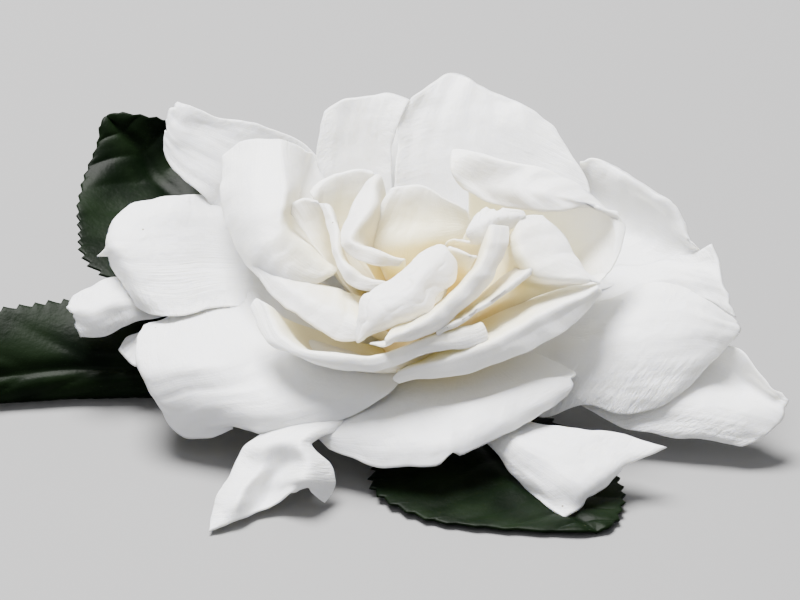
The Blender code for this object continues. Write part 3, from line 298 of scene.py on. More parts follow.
        ((-8.6, 8.8, 12), (-6, 8, 11.6), (-2.6, 7.4, 11.6), (1.4, 8, 11.6), (6, 9.8, 12)),
        ((-6.6, 10.4, 14), (-4.4, 11.4, 13.6), (-1, 12, 13.6), (2.8, 11.8, 13.8), (7, 11, 14)),
        ((-4, 15.6, 16), (-2, 15.8, 16.4), (0.2, 15.6, 16.6), (2.4, 14.6, 16), (6.4, 11.8, 15.6)),
    ]),
    "cup_back_left": Petal(140, 2, 3, [
        ((-14, 11, 9), (-11, 13.5, 9), (-6, 14.5, 10)),
        ((-14.8, 16.2, 13), (-13.4, 18, 14), (-11, 19.2, 14.6), (-8.6, 19.6, 15), (-6, 18.2, 15.6)),
        ((-15, 17.4, 12.6), (-13.8, 18.8, 13.8), (-11.4, 19.8, 14.6), (-8.8, 20, 15), (-6, 18.8, 15.6)),
    ]),
    "heart_left": Petal(195, 2, 3, [
        ((-3.5, 0, 9), (-8.5, 5, 9), (-10.5, 12, 10)),
        ((-4.2, -1.8, 15), (-8.6, -0.2, 15.2), (-10.8, 3.4, 15.4), (-11.2, 8.4, 15.4), (-12.6, 13, 15)),
        ((-6.4, -3, 14.4), (-10, -1.2, 14.6), (-11.6, 3.6, 14.8), (-12.6, 9.8, 14.8), (-13.8, 14, 14.6)),
    ]),
    "heart_back_left": Petal(165, 2, 3, [
        ((-2, 3, 10), (-5.5, 7, 10), (-4, 13, 11)),
        ((-2, 1.4, 16), (-6.4, 3.6, 16), (-9, 5.6, 16), (-6.2, 11.2, 16.4), (-5.6, 17, 16.8)),
        ((-2.8, 1, 15.2), (-7.8, 2, 15.2), (-10.8, 6.2, 15.2), (-9.4, 11.4, 15.6), (-6.6, 17.4, 16.2)),
    ]),
    "heart_fold": Petal(235, 1.5, 4, [
        ((3, -2, 12), (3.4, 0.4, 12), (2.6, 3, 12)),
        ((4.8, 1.8, 15.4), (4.4, 2.1, 16), (3.9, 2.7, 16.4), (3.4, 3.6, 16.4), (2.9, 4, 16.2)),
        ((4.7, -1.4, 15), (3.9, -0.5, 16.2), (2.5, 0.6, 17), (1.3, 1.8, 16.9), (0, 2.4, 16.3)),
        ((2.4, -4.2, 15), (1.3, -3.6, 16.3), (0.1, -2.8, 17), (-0.9, -1.1, 16.8), (-1.9, 0.2, 16)),
        ((1.3, -7.1, 14.6), (0, -6.4, 15.8), (-1.5, -5.3, 16.5), (-2.9, -3.2, 16.3), (-4.7, -2.2, 15.4)),
        ((-2.7, -8.4, 14.1), (-3.7, -8.4, 15.2), (-5, -7.6, 15.9), (-6.4, -5.8, 15.7), (-7.6, -4.4, 14.8)),
        ((-5.6, -9.5, 13.5), (-6.2, -9.6, 14.5), (-7, -9, 14.9), (-7.5, -7.9, 14.7), (-8.1, -6.3, 14.1)),
    ], (-8.2, -10.7, 12.8), creases=(2.2, 0.3), cream=0.1),
    "heart_wing": Petal(20, 1.5, 4, [
        ((2, 3, 12), (4, 2.5, 11.5), (6, 1, 12)),
        ((3.6, 4.2, 15.6), (5.8, 3, 15.6), (7.6, 2.4, 15.6)),
        ((4, 4.8, 15.4), (6.2, 3.4, 15.4), (7.8, 2.8, 15.2)),
    ]),
    "heart_right": Petal(322, 2, 3, [
        ((8, 7, 11), (4.4, 0, 11), (-2.6, -5.2, 11)),
        ((9.4, 7, 17), (7.8, 0.6, 16.6), (4.6, -4.2, 16), (0.6, -8.8, 15.4), (-4.6, -12, 14.8)),
        ((10.6, 7.2, 17.2), (9.4, 0.6, 16.6), (6.2, -4.6, 15.8), (1.2, -9.8, 15), (-5.4, -12.2, 14.4)),
        ((12, 7.4, 16.6), (11, 1.8, 15.4), (8, -3.6, 14.4), (1.4, -10, 13.8), (-6.8, -11.4, 13.8)),
    ]),
    "heart_right_rim": Petal(325, 2, 3, [
        ((12, 5, 10), (7, -1, 10), (0, -6, 10)),
        ((14.8, 0.8, 15.4), (11.8, -2.4, 15), (8.4, -5.4, 14.6), (5.4, -7.6, 14.2), (2, -9.6, 13.6)),
        ((15, 0.2, 15), (12, -2.8, 14.6), (8.6, -5.8, 14.2), (5.6, -8, 13.8), (2.2, -10, 13.2)),
    ]),
    "heart_back": Petal(48, 2, 3, [
        ((3.6, 8.8, 12), (6.8, 7.6, 12), (9.2, 7.4, 12)),
        ((6.8, 6.4, 15), (8.7, 5.6, 15.4), (10.1, 7.5, 16), (11.9, 8.1, 16), (13.9, 9.3, 15.8)),
        ((6.4, 6.9, 16), (8.2, 7.1, 17), (10.1, 8.1, 17.3), (12, 8.7, 17.1), (14.3, 9.4, 16.4)),
        ((7.4, 9.2, 16.4), (9, 10.7, 17.1), (10.4, 9.9, 17.1), (12, 10.3, 17.1), (14, 10.4, 16.4)),
    ], nibs=((-0.5, 0.5, 0.12), (-0.1, 0.4, 0.08), (0.3, 0.5, 0.1)), creases=(1.3, 0.16), cream=0.35),
    "outer_back_right": Petal(62, 4, -0.5, [
        ((3, 16, 2), (9, 15, 1.5), (15, 10, 2)),
        ((4, 29, 4.5), (13, 27, 4), (22, 19, 4)),
        ((9, 36, 6.5), (15, 33, 6.5), (23, 26, 6)),
    ], (16, 36.5, 7)),
    "outer_back": Petal(103, 4, -0.5, [
        ((-9, 14, 2), (-3.5, 16, 1.5), (3, 16, 2)),
        ((-14, 27, 4.5), (-6, 29, 4), (4, 30, 4.5)),
        ((-13, 35, 7), (-7, 37, 6.5), (1, 36, 6.5)),
    ], (-8, 40, 7.5)),
    "outer_back_left": Petal(146, 4, -0.5, [
        ((-16, 4, 1.5), (-14, 9, 1), (-9, 14, 2)),
        ((-24, 12, 2.5), (-20, 17, 3.5), (-14, 23, 5)),
        ((-26, 18, 4.5), (-23.5, 22, 5.5), (-18, 27, 6.5)),
    ], (-26, 25, 6.5)),
}

# A leaf's rows run from its stalk to its tip, over the table: left margin, midrib and right margin.
Leaf = namedtuple("Leaf", "rows tip")

LEAVES = {
    "leaf_back_left": Leaf([
        ((-3.5, 4.4, 2.4), (-3.7, 5.2, 2.6), (-3.3, 6.0, 2.4)),
        ((-8.5, 6.0, 3.2), (-8.5, 7.4, 3.4), (-7.5, 8.8, 3.3)),
        ((-24.0, 4.0, 5.6), (-17.0, 13.0, 6.4), (-8.5, 20.0, 6.5)),
        ((-45.5, 10.5, 12.5), (-30.0, 23.0, 13.0), (-15.0, 31.0, 13.5)),
        ((-49.8, 21.0, 16.0), (-39.5, 33.5, 17.5), (-27.0, 38.2, 21.0)),
        ((-49.9, 30.0, 18.5), (-42.4, 36.6, 21.2), (-34.5, 38.6, 23.6)),
        ((-48.3, 35.5, 21.9), (-45.4, 37.6, 23.9), (-41.5, 38.5, 25.4)),
    ], (-47.2, 38.4, 25.6)),
    "leaf_left": Leaf([
        ((-3.5, 0.2, 2.0), (-3.6, 1.0, 2.3), (-3.5, 1.8, 2.2)),
        ((-9.0, -0.8, 2.0), (-9.0, 0.4, 2.4), (-9.0, 1.8, 2.6)),
        ((-20.0, -5.0, 1.5), (-20.0, -2.5, 4.5), (-20.5, 4.0, 7.5)),
        ((-34.0, -5.0, 0.6), (-34.0, -4.8, 5.0), (-34.5, 3.5, 10.5)),
        ((-50.0, -5.5, 0.4), (-50.0, -5.0, 5.0), (-50.5, 3.5, 11.0)),
        ((-66.0, -8.0, 0.8), (-66.0, -8.5, 4.5), (-66.5, -2.5, 10.0)),
    ], (-80.0, -13.0, 5.0)),
    "leaf_front": Leaf([
        ((4.1, -3.4, 1.6), (3.6, -4.0, 1.8), (3.0, -4.7, 1.6)),
        ((6.5, -8.5, 1.6), (5.2, -9.4, 1.7), (3.8, -10.2, 1.6)),
        ((16.0, -14.0, 2.4), (8.0, -19.0, 1.6), (-3.0, -20.0, 1.6)),
        ((23.5, -24.0, 2.2), (13.0, -29.0, 1.2), (-6.0, -31.0, 1.2)),
        ((26.0, -32.0, 1.4), (18.0, -35.5, 0.7), (1.0, -38.5, 0.7)),
        ((25.5, -37.0, 0.8), (20.5, -39.0, 0.6), (11.0, -41.0, 0.6)),
    ], (22.5, -41.5, 0.6)),
}

# Leaves: their teeth set in after a share of the way to row TEETH_FROM, over a stretch of the blade, and
# end a stretch before its tip. A tooth bends by its power, and only a band along the margin moves with it.
LEAF_THICKNESS = 0.45
LEAF_COLUMNS = 32
LEAF_ROWS = 240
TEETH_FROM = 2
TEETH_SHARE = 0.8
TEETH_ONSET = 0.1
TEETH_END = 1 / 12
TOOTH_PITCH = 1.9
TOOTH_DEPTH = 0.9
TOOTH_POWER = 1.3
TOOTH_BAND = 1.2

# Leaf skin: how high it is puffed between the side veins, how far from the midrib that is full, how narrow
# the dips at the side veins and at the margin are, how deep and wide the midrib's groove is, how far the
# side veins run forward, as a share of the leaf, its waves' length, height and seed, and its lowest place
PUFF = 0.32
PUFF_FULL = 0.2
DIP_POWER = 3
RIM_POWER = 4
GROOVE_DEPTH = 0.5
GROOVE_WIDTH = 0.9
SIDE_VEINS = 9
VEIN_SLANT = 0.1925
LEAF_WAVES = ((6.0, 0.2, 11),)
LEAF_FLOOR = 0.3

# Veins: how deep they lie, how thick they are, the shares of that at a vein's start and end, how many rows or
# columns short of the tip and the margin they stop, and how few points make a vein
VEIN_SINK = 0.12
VEIN_THICKNESS = 0.5
VEIN_SIDES = 8
MIDRIB_TAPER = (1.0, 0.3)
SIDE_TAPER = (0.6, 0.2)
MIDRIB_SHORT = 6
MIDRIB_STEP = 2
VEIN_ROWS_SHORT = 4
VEIN_COLUMNS_SHORT = 3
SHORTEST_VEIN = 5

# The stem over the table, its bark's size, height and seed, how the bark's grain is stretched, how far the
# flat under it stays over the floor, and the cut end's rings: their radius and how far out they lie
STEM_PATH = [(0.0, -5.2, 3.5), (0.0, -2.0, 2.75), (0.0, 8.0, 2.75), (1.0, 20.0, 2.85), (3.0, 34.0, 2.75)]
STEM_RADIUS = 2.8
STEM_SIDES = 48
STEM_RINGS = 90
STEM_FLAT = 0.02
BARK = ((1.4, 0.12, 5),)
BARK_GRAIN = (1, 0.25, 1)
CUT_RINGS = ((2.35, -0.3), (2.35, 0.05), (1.3, 0.1), (1.1, 0.02))

# The calyx cup in the flower's own frame: its top, and its profile in shares of its radius and in depths
CALYX_TOP = -3.2
CALYX_PROFILE = ((0.75, 3.6), (0.93, 2.2), (1.0, 0.7), (1.0, 0.0))
CALYX_RADIUS = 3.3
CALYX_SIDES = 60
CALYX_WAVE = 0.015

# The sepals: their rows' reach, height and share of the width, their tip, and how far their sides turn up
SEPALS = 5
FIRST_SEPAL = 20.0
SEPAL_WIDTH = 2.2
SEPAL_ROWS = ((2.2, -4.6, 1.0), (5.0, -3.2, 1.0), (9.0, -2.2, 0.8))
SEPAL_TIP = (13.0, 0.0, -1.7)
SEPAL_CUP = 0.15
SEPAL_THICKNESS = 0.5
SEPAL_COLUMNS = 12
SEPAL_LENGTH_ROWS = 40

# The calyx's ribs: how far they stay from the cup's ends, and how blunt their own ends are, in radians
RIB_THICKNESS = 0.42
RIB_SIDES = 10
RIB_POINTS = 14
RIB_INSET = 0.2
RIB_BLUNTNESS = 0.25

# The core that the petals' roots are sunk in: radii and heights in the flower's own frame
CORE_PROFILE = [(0.5, -2.9), (3.0, -2.9), (4.2, -1.0), (5.5, 1.5), (5.2, 4.0), (4.0, 6.0), (1.0, 7.2)]
CORE_SIDES = 48
# The core takes mostly the clefts' amber, partly painted shade.
CORE_TINT_AND_SHADE = 0.85
PROFILE_STEPS = 24

# The room, in metres and watts
FLOOR_REACH = 3.0
SKY_COLOUR = (0.97, 0.98, 1.0, 1)
SKY_STRENGTH = 0.42


# Objects and shader maths

class Value:
    """A shader value that adds its Math nodes as it is used in an expression."""

    def __init__(self, nodes, socket):
        self.nodes = nodes
        self.socket = socket

    def _math(self, operation, a, b):
        return self.nodes.add("ShaderNodeMath", {"operation": operation}, {0: a, 1: b})

    def __add__(self, other):
        return self._math("ADD", self, other)

    def __radd__(self, other):
        return self._math("ADD", other, self)

    def __sub__(self, other):
        return self._math("SUBTRACT", self, other)

    def __rsub__(self, other):
        return self._math("SUBTRACT", other, self)

    def __mul__(self, other):
        return self._math("MULTIPLY", self, other)

    def __rmul__(self, other):
        return self._math("MULTIPLY", other, self)

    def __truediv__(self, other):
        return self._math("DIVIDE", self, other)

    def __rtruediv__(self, other):
        return self._math("DIVIDE", other, self)


def add_object(name, data):
    """An object with that data in the scene."""
    obj = bpy.data.objects.new(name, data)
    bpy.context.scene.collection.objects.link(obj)
    return obj


class Tree:
    """Nodes that are added to a tree one by one."""

    def __init__(self, tree):
        self.tree = tree

    def fill(self, socket, value):
        """Links a value to a socket, or sets the socket to a constant."""
        if isinstance(value, Value):
            self.tree.links.new(value.socket, socket)
        else:
            socket.default_value = value

    def add(self, kind, settings=None, inputs=None, output=0):
        """Adds a node, sets it, fills its sockets with values or links, and returns one output."""
        node = self.tree.nodes.new(kind)
        for key, value in (settings or {}).items():
            setattr(node, key, value)
        for key, value in (inputs or {}).items():
            self.fill(node.inputs[key], value)
        return Value(self, node.outputs[output])


class Finish(Tree):
    """A material with a Principled shader."""

    def __init__(self, name, **constants):
        self.material = bpy.data.materials.new(name)
        self.material.use_nodes = True
        super().__init__(self.material.node_tree)
        self.shader = self.tree.nodes["Principled BSDF"]
        self.drive(**constants)

    def place(self):
        return self.add("ShaderNodeTexCoord", output="Object")

    def own_map(self, name):
        return self.add("ShaderNodeUVMap", {"uv_map": name})

    def stretch(self, vector, factors):
        return self.add("ShaderNodeVectorMath", {"operation": "MULTIPLY"}, {0: vector, 1: factors})

    def grain(self, vector, scale, detail=2.0, roughness=0.5):
        inputs = {"Vector": vector, "Scale": scale, "Detail": detail, "Roughness": roughness}
        return self.add("ShaderNodeTexNoise", inputs=inputs)

    def spots(self, vector, scale):
        """The distance to the nearest of many scattered points, as a share of how far apart they are."""
        return self.add("ShaderNodeTexVoronoi", inputs={"Vector": vector, "Scale": scale})

    def attribute(self, name):
        return self.add("ShaderNodeAttribute", {"attribute_name": name}, output="Fac")

    def between(self, value, low, high):
        """0 where value is under low, 1 where it is over high, and smooth between."""
        inputs = {"Value": value, "From Min": low, "From Max": high}
        return self.add("ShaderNodeMapRange", {"interpolation_type": "SMOOTHSTEP"}, inputs)

    def mix(self, share, a, b):
        """Colour a, turning to b as share goes to 1."""
        share_socket, a_socket, b_socket, colour_output = 0, 6, 7, 2
        a, b = ((*colour, 1) if isinstance(colour, tuple) else colour for colour in (a, b))
        inputs = {share_socket: share, a_socket: a, b_socket: b}
        return self.add("ShaderNodeMix", {"data_type": "RGBA"}, inputs, colour_output)

    def bump(self, height, distance, strength):
        inputs = {"Height": height, "Distance": distance, "Strength": strength}
        return self.add("ShaderNodeBump", inputs=inputs)

    def drive(self, **inputs):
        """Links values to the shader's inputs, or sets them to constants."""
        for key, value in inputs.items():
            self.fill(self.shader.inputs[key.replace("_", " ")], value)
        return self.material


class Growth(Tree):
    """A Geometry Nodes tree that turns one mesh into another, with named inputs."""

    def __init__(self, name, **kinds):
        super().__init__(bpy.data.node_groups.new(name, "GeometryNodeTree"))
        face = self.tree.interface
        face.new_socket("Shape", in_out="OUTPUT", socket_type="NodeSocketGeometry")
        face.new_socket("Shape", in_out="INPUT", socket_type="NodeSocketGeometry")
        for label, kind in kinds.items():
            face.new_socket(label, in_out="INPUT", socket_type="NodeSocket" + kind)
        face.new_socket("Finish", in_out="INPUT", socket_type="NodeSocketMaterial")
        self.given = self.tree.nodes.new("NodeGroupInput")

    def input(self, label):
        return Value(self, self.given.outputs[label])

    def result(self, shape):
        """Ends the tree: real geometry, smooth, in its finish."""
        shape = self.add("GeometryNodeRealizeInstances", inputs={0: shape})
        shape = self.add("GeometryNodeSetShadeSmooth", inputs={"Geometry": shape})
        inputs = {"Geometry": shape, "Material": self.input("Finish")}
        shape = self.add("GeometryNodeSetMaterial", inputs=inputs)
        end = self.tree.nodes.new("NodeGroupOutput")
        self.tree.links.new(shape.socket, end.inputs[0])
        return self

    def grow(self, name, mesh, finish, **values):
        """The mesh that the tree makes of another."""
        holder = add_object(name, mesh)
        modifier = holder.modifiers.new("growth", "NODES")
        modifier.node_group = self.tree
        values["Finish"] = finish
        for item in self.tree.interface.items_tree:
            if item.in_out == "INPUT" and item.name in values:
                modifier[item.identifier] = values[item.name]
        graph = bpy.context.evaluated_depsgraph_get()
        grown = bpy.data.meshes.new_from_object(holder.evaluated_get(graph))
        grown.name = name
        bpy.data.objects.remove(holder)
        return grown


def tube_tree():
    """Tapered tubes along edges. The attribute taper scales their thickness."""
    tree = Growth("tapered_tubes", Thickness="Float", Sides="Int")
    line = tree.add("GeometryNodeMeshToCurve", inputs={0: tree.input("Shape")})
    taper = tree.add("GeometryNodeInputNamedAttribute", {"data_type": "FLOAT"}, {"Name": "taper"})
    radius = taper * tree.input("Thickness")
    inputs = {"Resolution": tree.input("Sides"), "Radius": 1.0}
    ring = tree.add("GeometryNodeCurvePrimitiveCircle", inputs=inputs)
    line = tree.add("GeometryNodeSetCurveRadius", inputs={"Curve": line, "Radius": radius})
    inputs = {"Curve": line, "Profile Curve": ring, "Fill Caps": True, "Scale": radius}
    return tree.result(tree.add("GeometryNodeCurveToMesh", inputs=inputs))


def round_tree():
    """A shape in the flower's own frame repeated round its axis, then set in its place."""
    tree = Growth("round_the_axis", Count="Int", Start="Float", Place="Vector", Lean="Vector")
    points = tree.add("GeometryNodePoints", inputs={"Count": tree.input("Count"), "Radius": MM})
    index = tree.add("GeometryNodeInputIndex")
    turn = tree.input("Start") + index * (2 * pi) / tree.input("Count")
    rotation = tree.add("ShaderNodeCombineXYZ", inputs={"Z": turn})
    inputs = {"Points": points, "Instance": tree.input("Shape"), "Rotation": rotation}
    copies = tree.add("GeometryNodeInstanceOnPoints", inputs=inputs)
    real = tree.add("GeometryNodeRealizeInstances", inputs={0: copies})
    inputs = {"Geometry": real, "Translation": tree.input("Place"), "Rotation": tree.input("Lean")}
    return tree.result(tree.add("GeometryNodeTransform", inputs=inputs))


# Materials

def petal_finish():
    """White petal skin, cream in the heart, amber partly painted shade in its clefts, fine veins, crepe and a
    few specks.
    """
    white = (0.87, 0.868, 0.845)
    cream = (0.875, 0.79, 0.56)
    amber = (0.85, 0.68, 0.34)
    speck = (0.16, 0.12, 0.07)
    finish = Finish("petal_white", Subsurface_Weight=0.8, Subsurface_Scale=0.0013,
                    Subsurface_Radius=(1.0, 0.95, 0.75), Specular_IOR_Level=0.35)
    place = finish.place()
    own = finish.own_map("petal_map")
    veins = finish.grain(finish.stretch(own, (26.0, 2.2, 1.0)), scale=3.0, detail=3.0)
    pleats = finish.grain(finish.stretch(own, (60.0, 5.0, 1.0)), scale=1.0)
    crinkles = finish.grain(finish.stretch(own, (9.0, 46.0, 1.0)), scale=1.0, detail=3.0, roughness=0.6)
    crepe = finish.grain(place, scale=900.0, detail=3.0, roughness=0.6)
    swell = finish.grain(place, scale=260.0)
    shade = finish.attribute("heart_tint_and_shade") + (swell - 0.5) * 0.12
    colour = finish.mix(finish.between(shade, low=0.08, high=0.52), white, cream)
    # Amber in the clefts: partly the heart's warm tint, partly painted shade under the rims.
    colour = finish.mix(finish.between(shade, low=0.6, high=1.0), colour, amber)
    clear = finish.between(finish.spots(place, SPECKS_PER_METRE), *SPECK_EDGE)
    colour = finish.mix(clear, speck, colour)
    height = veins * SKIN_VEINS + crepe * SKIN_CREPE + swell * SKIN_SWELL
    height = height + crinkles * finish.attribute("crinkle") * SKIN_CRINKLES
    height = height + pleats * finish.attribute("pleats") * SKIN_PLEATS
    return finish.drive(Base_Color=colour, Normal=finish.bump(height, distance=0.00035, strength=0.5),
                        Roughness=0.4 + crepe * 0.16)


def leaf_finish():
    """Waxy leaf skin in near-black green: the leaves' own dark green darkened further as painted shade."""
    finish = Finish("leaf_green", Specular_IOR_Level=0.03)
    place = finish.place()
    mottle = finish.grain(place, scale=140.0, detail=3.0)
    pores = finish.grain(place, scale=1500.0)
    share = finish.between(mottle, low=0.3, high=0.75)
    # Near-black greens: painted shade over the leaves' own dark green.
    colour = finish.mix(share, (0.001, 0.003, 0.001), (0.004, 0.009, 0.003))
    normal = finish.bump(pores * 0.4 + mottle, distance=0.0002, strength=0.5)
    return finish.drive(Base_Color=colour, Normal=normal, Roughness=0.3 + mottle * 0.16)


def vein_finish():
    """Paler green veins, darkened to near black like the leaf skin as painted shade."""
    finish = Finish("vein_green", Specular_IOR_Level=0.04)
    tone = finish.grain(finish.place(), scale=300.0)
    # Near-black vein greens: painted shade over the veins' own paler green.
    colour = finish.mix(tone, (0.004, 0.009, 0.003), (0.01, 0.02, 0.007))
    return finish.drive(Base_Color=colour, Roughness=0.4 + tone * 0.2)


def stem_finish():
    """Green stem bark, turning brown in patches, with fine lengthwise lines."""
    finish = Finish("stem_green", Specular_IOR_Level=0.4)
    place = finish.place()
    lines = finish.grain(finish.stretch(place, (1.0, 0.12, 1.0)), scale=2200.0, detail=3.0)
    patches = finish.grain(place, scale=180.0, detail=4.0, roughness=0.6)
    share = finish.between(patches, low=0.45, high=0.75)
    colour = finish.mix(share, (0.13, 0.22, 0.06), (0.22, 0.17, 0.08))
    colour = finish.mix(lines * 0.4, colour, (0.06, 0.11, 0.03))
    normal = finish.bump(lines + patches, distance=0.0003, strength=0.6)
    return finish.drive(Base_Color=colour, Normal=normal, Roughness=0.5 + lines * 0.2)


def calyx_finish():
    """Fresh green of the calyx and its sepals."""
    finish = Finish("calyx_green", Specular_IOR_Level=0.4, Subsurface_Weight=0.1, Subsurface_Scale=0.001)
    place = finish.place()
    tone = finish.grain(place, scale=220.0, detail=3.0)
    fine = finish.grain(place, scale=1300.0)
    colour = finish.mix(tone, (0.13, 0.26, 0.06), (0.27, 0.4, 0.12))
    normal = finish.bump(fine + tone, distance=0.0002, strength=0.5)
    return finish.drive(Base_Color=colour, Normal=normal, Roughness=0.42 + fine * 0.15)


def cut_finish():
    """The stem's cut end: pale wood with fine fibres."""
    finish = Finish("cut_pale", Specular_IOR_Level=0.3)
    fibres = finish.grain(finish.place(), scale=1500.0, detail=3.0)
    colour = finish.mix(fibres, (0.42, 0.4, 0.2), (0.62, 0.58, 0.36))
    normal = finish.bump(fibres, distance=0.0002, strength=0.7)
    return finish.drive(Base_Color=colour, Normal=normal, Roughness=0.6 + fibres * 0.2)


def floor_finish():
    """The floor's even pale grey."""
    finish = Finish("pale_floor", Specular_IOR_Level=0.2, Roughness=0.6)
    tone = finish.grain(finish.place(), scale=3.0)
    return finish.drive(Base_Color=finish.mix(tone, (0.21, 0.21, 0.214), (0.235, 0.235, 0.239)))


# Shapes

def metres(points):
    """Points over the table in metres from the part's origin."""
    return (np.asarray(points, float) - ORIGIN) * MM


LEAN = radians(BLOOM_TILT)
FLOWER_AXES = np.array([(1, 0, 0), (0, cos(LEAN), sin(LEAN)), (0, -sin(LEAN), cos(LEAN))])


def flower_to_table(points):
    """Points in the flower's own frame, right, back and up its axis, as points over the table."""
    return np.array(BLOOM_BASE) + np.asarray(points, float) @ FLOWER_AXES


def unit(vectors):
    """Vectors made 1 long, but for those that have no length."""
    return vectors / np.maximum(np.linalg.norm(vectors, axis=-1, keepdims=True), TINY)


def ramp(values, start, end):
    """0 up to start, 1 from end on, and straight between."""
    return np.clip((values - start) / (end - start), 0, 1)


def spline(points, knots, at):
    """A smooth curve through points, each reached at its knot, read at the values in at."""
    points = np.asarray(points, float)
    slopes = np.empty_like(points)
    for i in range(len(points)):
        before = max(i - 1, 0)
        after = min(i + 1, len(points) - 1)
        slopes[i] = (points[after] - points[before]) / (knots[after] - knots[before])
    k = np.clip(np.searchsorted(knots, at, side="right") - 1, 0, len(knots) - 2)
    step = (knots[k + 1] - knots[k])[:, None]
    t = ((at - knots[k]) / (knots[k + 1] - knots[k]))[:, None]
    return ((2 * t**3 - 3 * t**2 + 1) * points[k] + (t**3 - 2 * t**2 + t) * step * slopes[k]
            + (3 * t**2 - 2 * t**3) * points[k + 1] + (t**3 - t**2) * step * slopes[k + 1])


def smooth_line(points, count):
    """That many points along a smooth curve through a few."""
    points = np.asarray(points, float)
    knots = np.concatenate([[0], np.cumsum(np.linalg.norm(np.diff(points, axis=0), axis=1))])
    return spline(points, knots, np.linspace(0, knots[-1], count))


QUARTERS = np.linspace(-1, 1, 5)


def five_points(row):
    """A row's points at its margins, quarters and middle. One of three points bends as a parabola does."""
    if len(row) == 5:
        return row
    left, middle, right = (np.asarray(p, float) for p in row)
    bow = (left + right) / 2 - middle
    return [middle + u * (right - left) / 2 + u * u * bow for u in QUARTERS]


class Sheet:
    """The middle layer of a blade: points in rows from root to tip or end, and where each lies in it.

    u runs from -1 at the left margin to 1 at the right one, and v from 0 at the root to 1 at the end. half is
    each row's half width, tipness rises to 1 at the end, and to_rim is how far a point is from the margin.
    """

    def __init__(self, rows, tip, columns, count):
        rows = np.array([five_points(row) for row in rows], float)
        self.pointed = tip is not None
        ends = [tip] if self.pointed else []
        middle = np.array(list(rows[:, 2]) + ends, float)
        knots = np.concatenate([[0], np.cumsum(np.sqrt(np.linalg.norm(np.diff(middle, axis=0), axis=1)))])
        self.knots = knots / knots[-1]
        self.v = np.linspace(0, 1, count + 1)[:, None]
        v = self.v[:, 0]
        if self.pointed:
            outline = np.vstack([rows[:, 0], tip, rows[::-1, 4]])
            outline_knots = np.concatenate([self.knots, 2 - self.knots[-2::-1]])
            left = spline(outline, outline_knots, v)
            right = spline(outline, outline_knots, 2 - v)
        else:
            left, right = (spline(rows[:, k], self.knots, v) for k in (0, 4))
        centre = spline(middle, self.knots, v)
        self.half = np.linalg.norm(right - left, axis=1)[:, None] / 2
        self.u = self.columns_at(columns)
        span = (right - left)[:, None] / 2
        bow = ((left + right) / 2 - centre)[:, None]
        self.length = np.linalg.norm(np.diff(centre, axis=0), axis=1).sum()
        self.tipness = np.clip(1 - (1 - self.v) * self.length / self.half.max(), 0, 1)
        u = self.u[..., None]
        self.points = centre[:, None] + u * span + u**2 * bow
        weights = np.array([spline(np.eye(5), QUARTERS, across) for across in self.u])
        for k in (1, 3):
            plain = np.array([five_points(row[::2])[k] for row in rows])
            extra = np.vstack([rows[:, k] - plain] + [np.zeros(3)] * len(ends))
            self.points += weights[..., k, None] * spline(extra, self.knots, v)[:, None]
        self.to_rim = np.minimum((1 - np.abs(self.u)) * self.half, (1 - self.v) * self.length)

    def columns_at(self, columns):
        """Where the columns lie across each row, with a few close to each margin so that it is round."""
        steps = np.array(EDGE_STEPS)[None]
        shrink = np.minimum(1, EDGE_SHARE * self.half / steps.max())
        near = steps * shrink / np.maximum(self.half, TINY)
        inner = near[:, -1:]
        share = np.linspace(-1, 1, columns + 1 - 2 * (len(EDGE_STEPS) - 1))[None, :]
        middle = share * (1 - inner)
        return np.hstack([-1 + near[:, :-1], middle, (1 - near[:, :-1])[:, ::-1]])

    def normals(self):
        """Unit normals, with the tip's row given the mean of the row before it."""
        n = unit(np.cross(np.gradient(self.points, axis=1), np.gradient(self.points, axis=0)))
        if self.pointed:
            end = n[-2].mean(axis=0)
            n[-1] = end / np.linalg.norm(end)
        return n

    def push(self, amount):
        """Moves the points along their normals by amounts in millimetres."""
        self.points = self.points + self.normals() * amount[..., None]

    def keep_above(self, floor):
        """Turns points up smoothly where they would go under a height."""
        over = (self.points[..., 2] - floor) / FLOOR_SOFTNESS
        self.points[..., 2] = floor + FLOOR_SOFTNESS * np.logaddexp(0, over)


def relief(points, size, seed):
    """Smooth random heights from -1 to 1 at points in millimetres, with features of about that size."""
    flat = points.reshape(-1, 3) / size
    shift = Vector(SEED_STEP * seed)
    values = [noise.noise(Vector(p) + shift) for p in flat]
    return np.array(values).reshape(points.shape[:-1])


def wander(points, size, seed):
    """Smooth random shifts at points in millimetres, each way up to about 1 long."""
    return np.stack([relief(points, size, seed + way) for way in WANDER_SEEDS], axis=-1)


def lengthwise(sheet, pitch, seed):
    """Smooth random folds that run from root to rim, from -1 to 1."""
    across = sheet.u * sheet.half.max() / pitch
    along = np.broadcast_to(sheet.v, sheet.u.shape) * sheet.length / (FOLD_LENGTH * pitch)
    flat = np.stack([across, along, np.full(sheet.u.shape, seed * FOLD_SEED_STEP)], -1).reshape(-1, 3)
    return np.array([noise.noise(Vector(p)) for p in flat]).reshape(sheet.u.shape)


def layers(kind, shape, table, seed):
    """Several layers of one kind of unevenness, added up."""
    return sum(kind(shape, size, seed + apart) * height for size, height, apart in table)


def creases(points, size, seed):
    """Narrow random creases about that many millimetres apart, deeper in some places than in others."""
    lines = np.clip(1 - np.abs(relief(points, size, seed)) * CREASE_NARROWNESS, 0, 1)**2
    return lines * (CREASE_LEVEL + relief(points, 2 * size, seed + COARSE_CREASE_SEED))


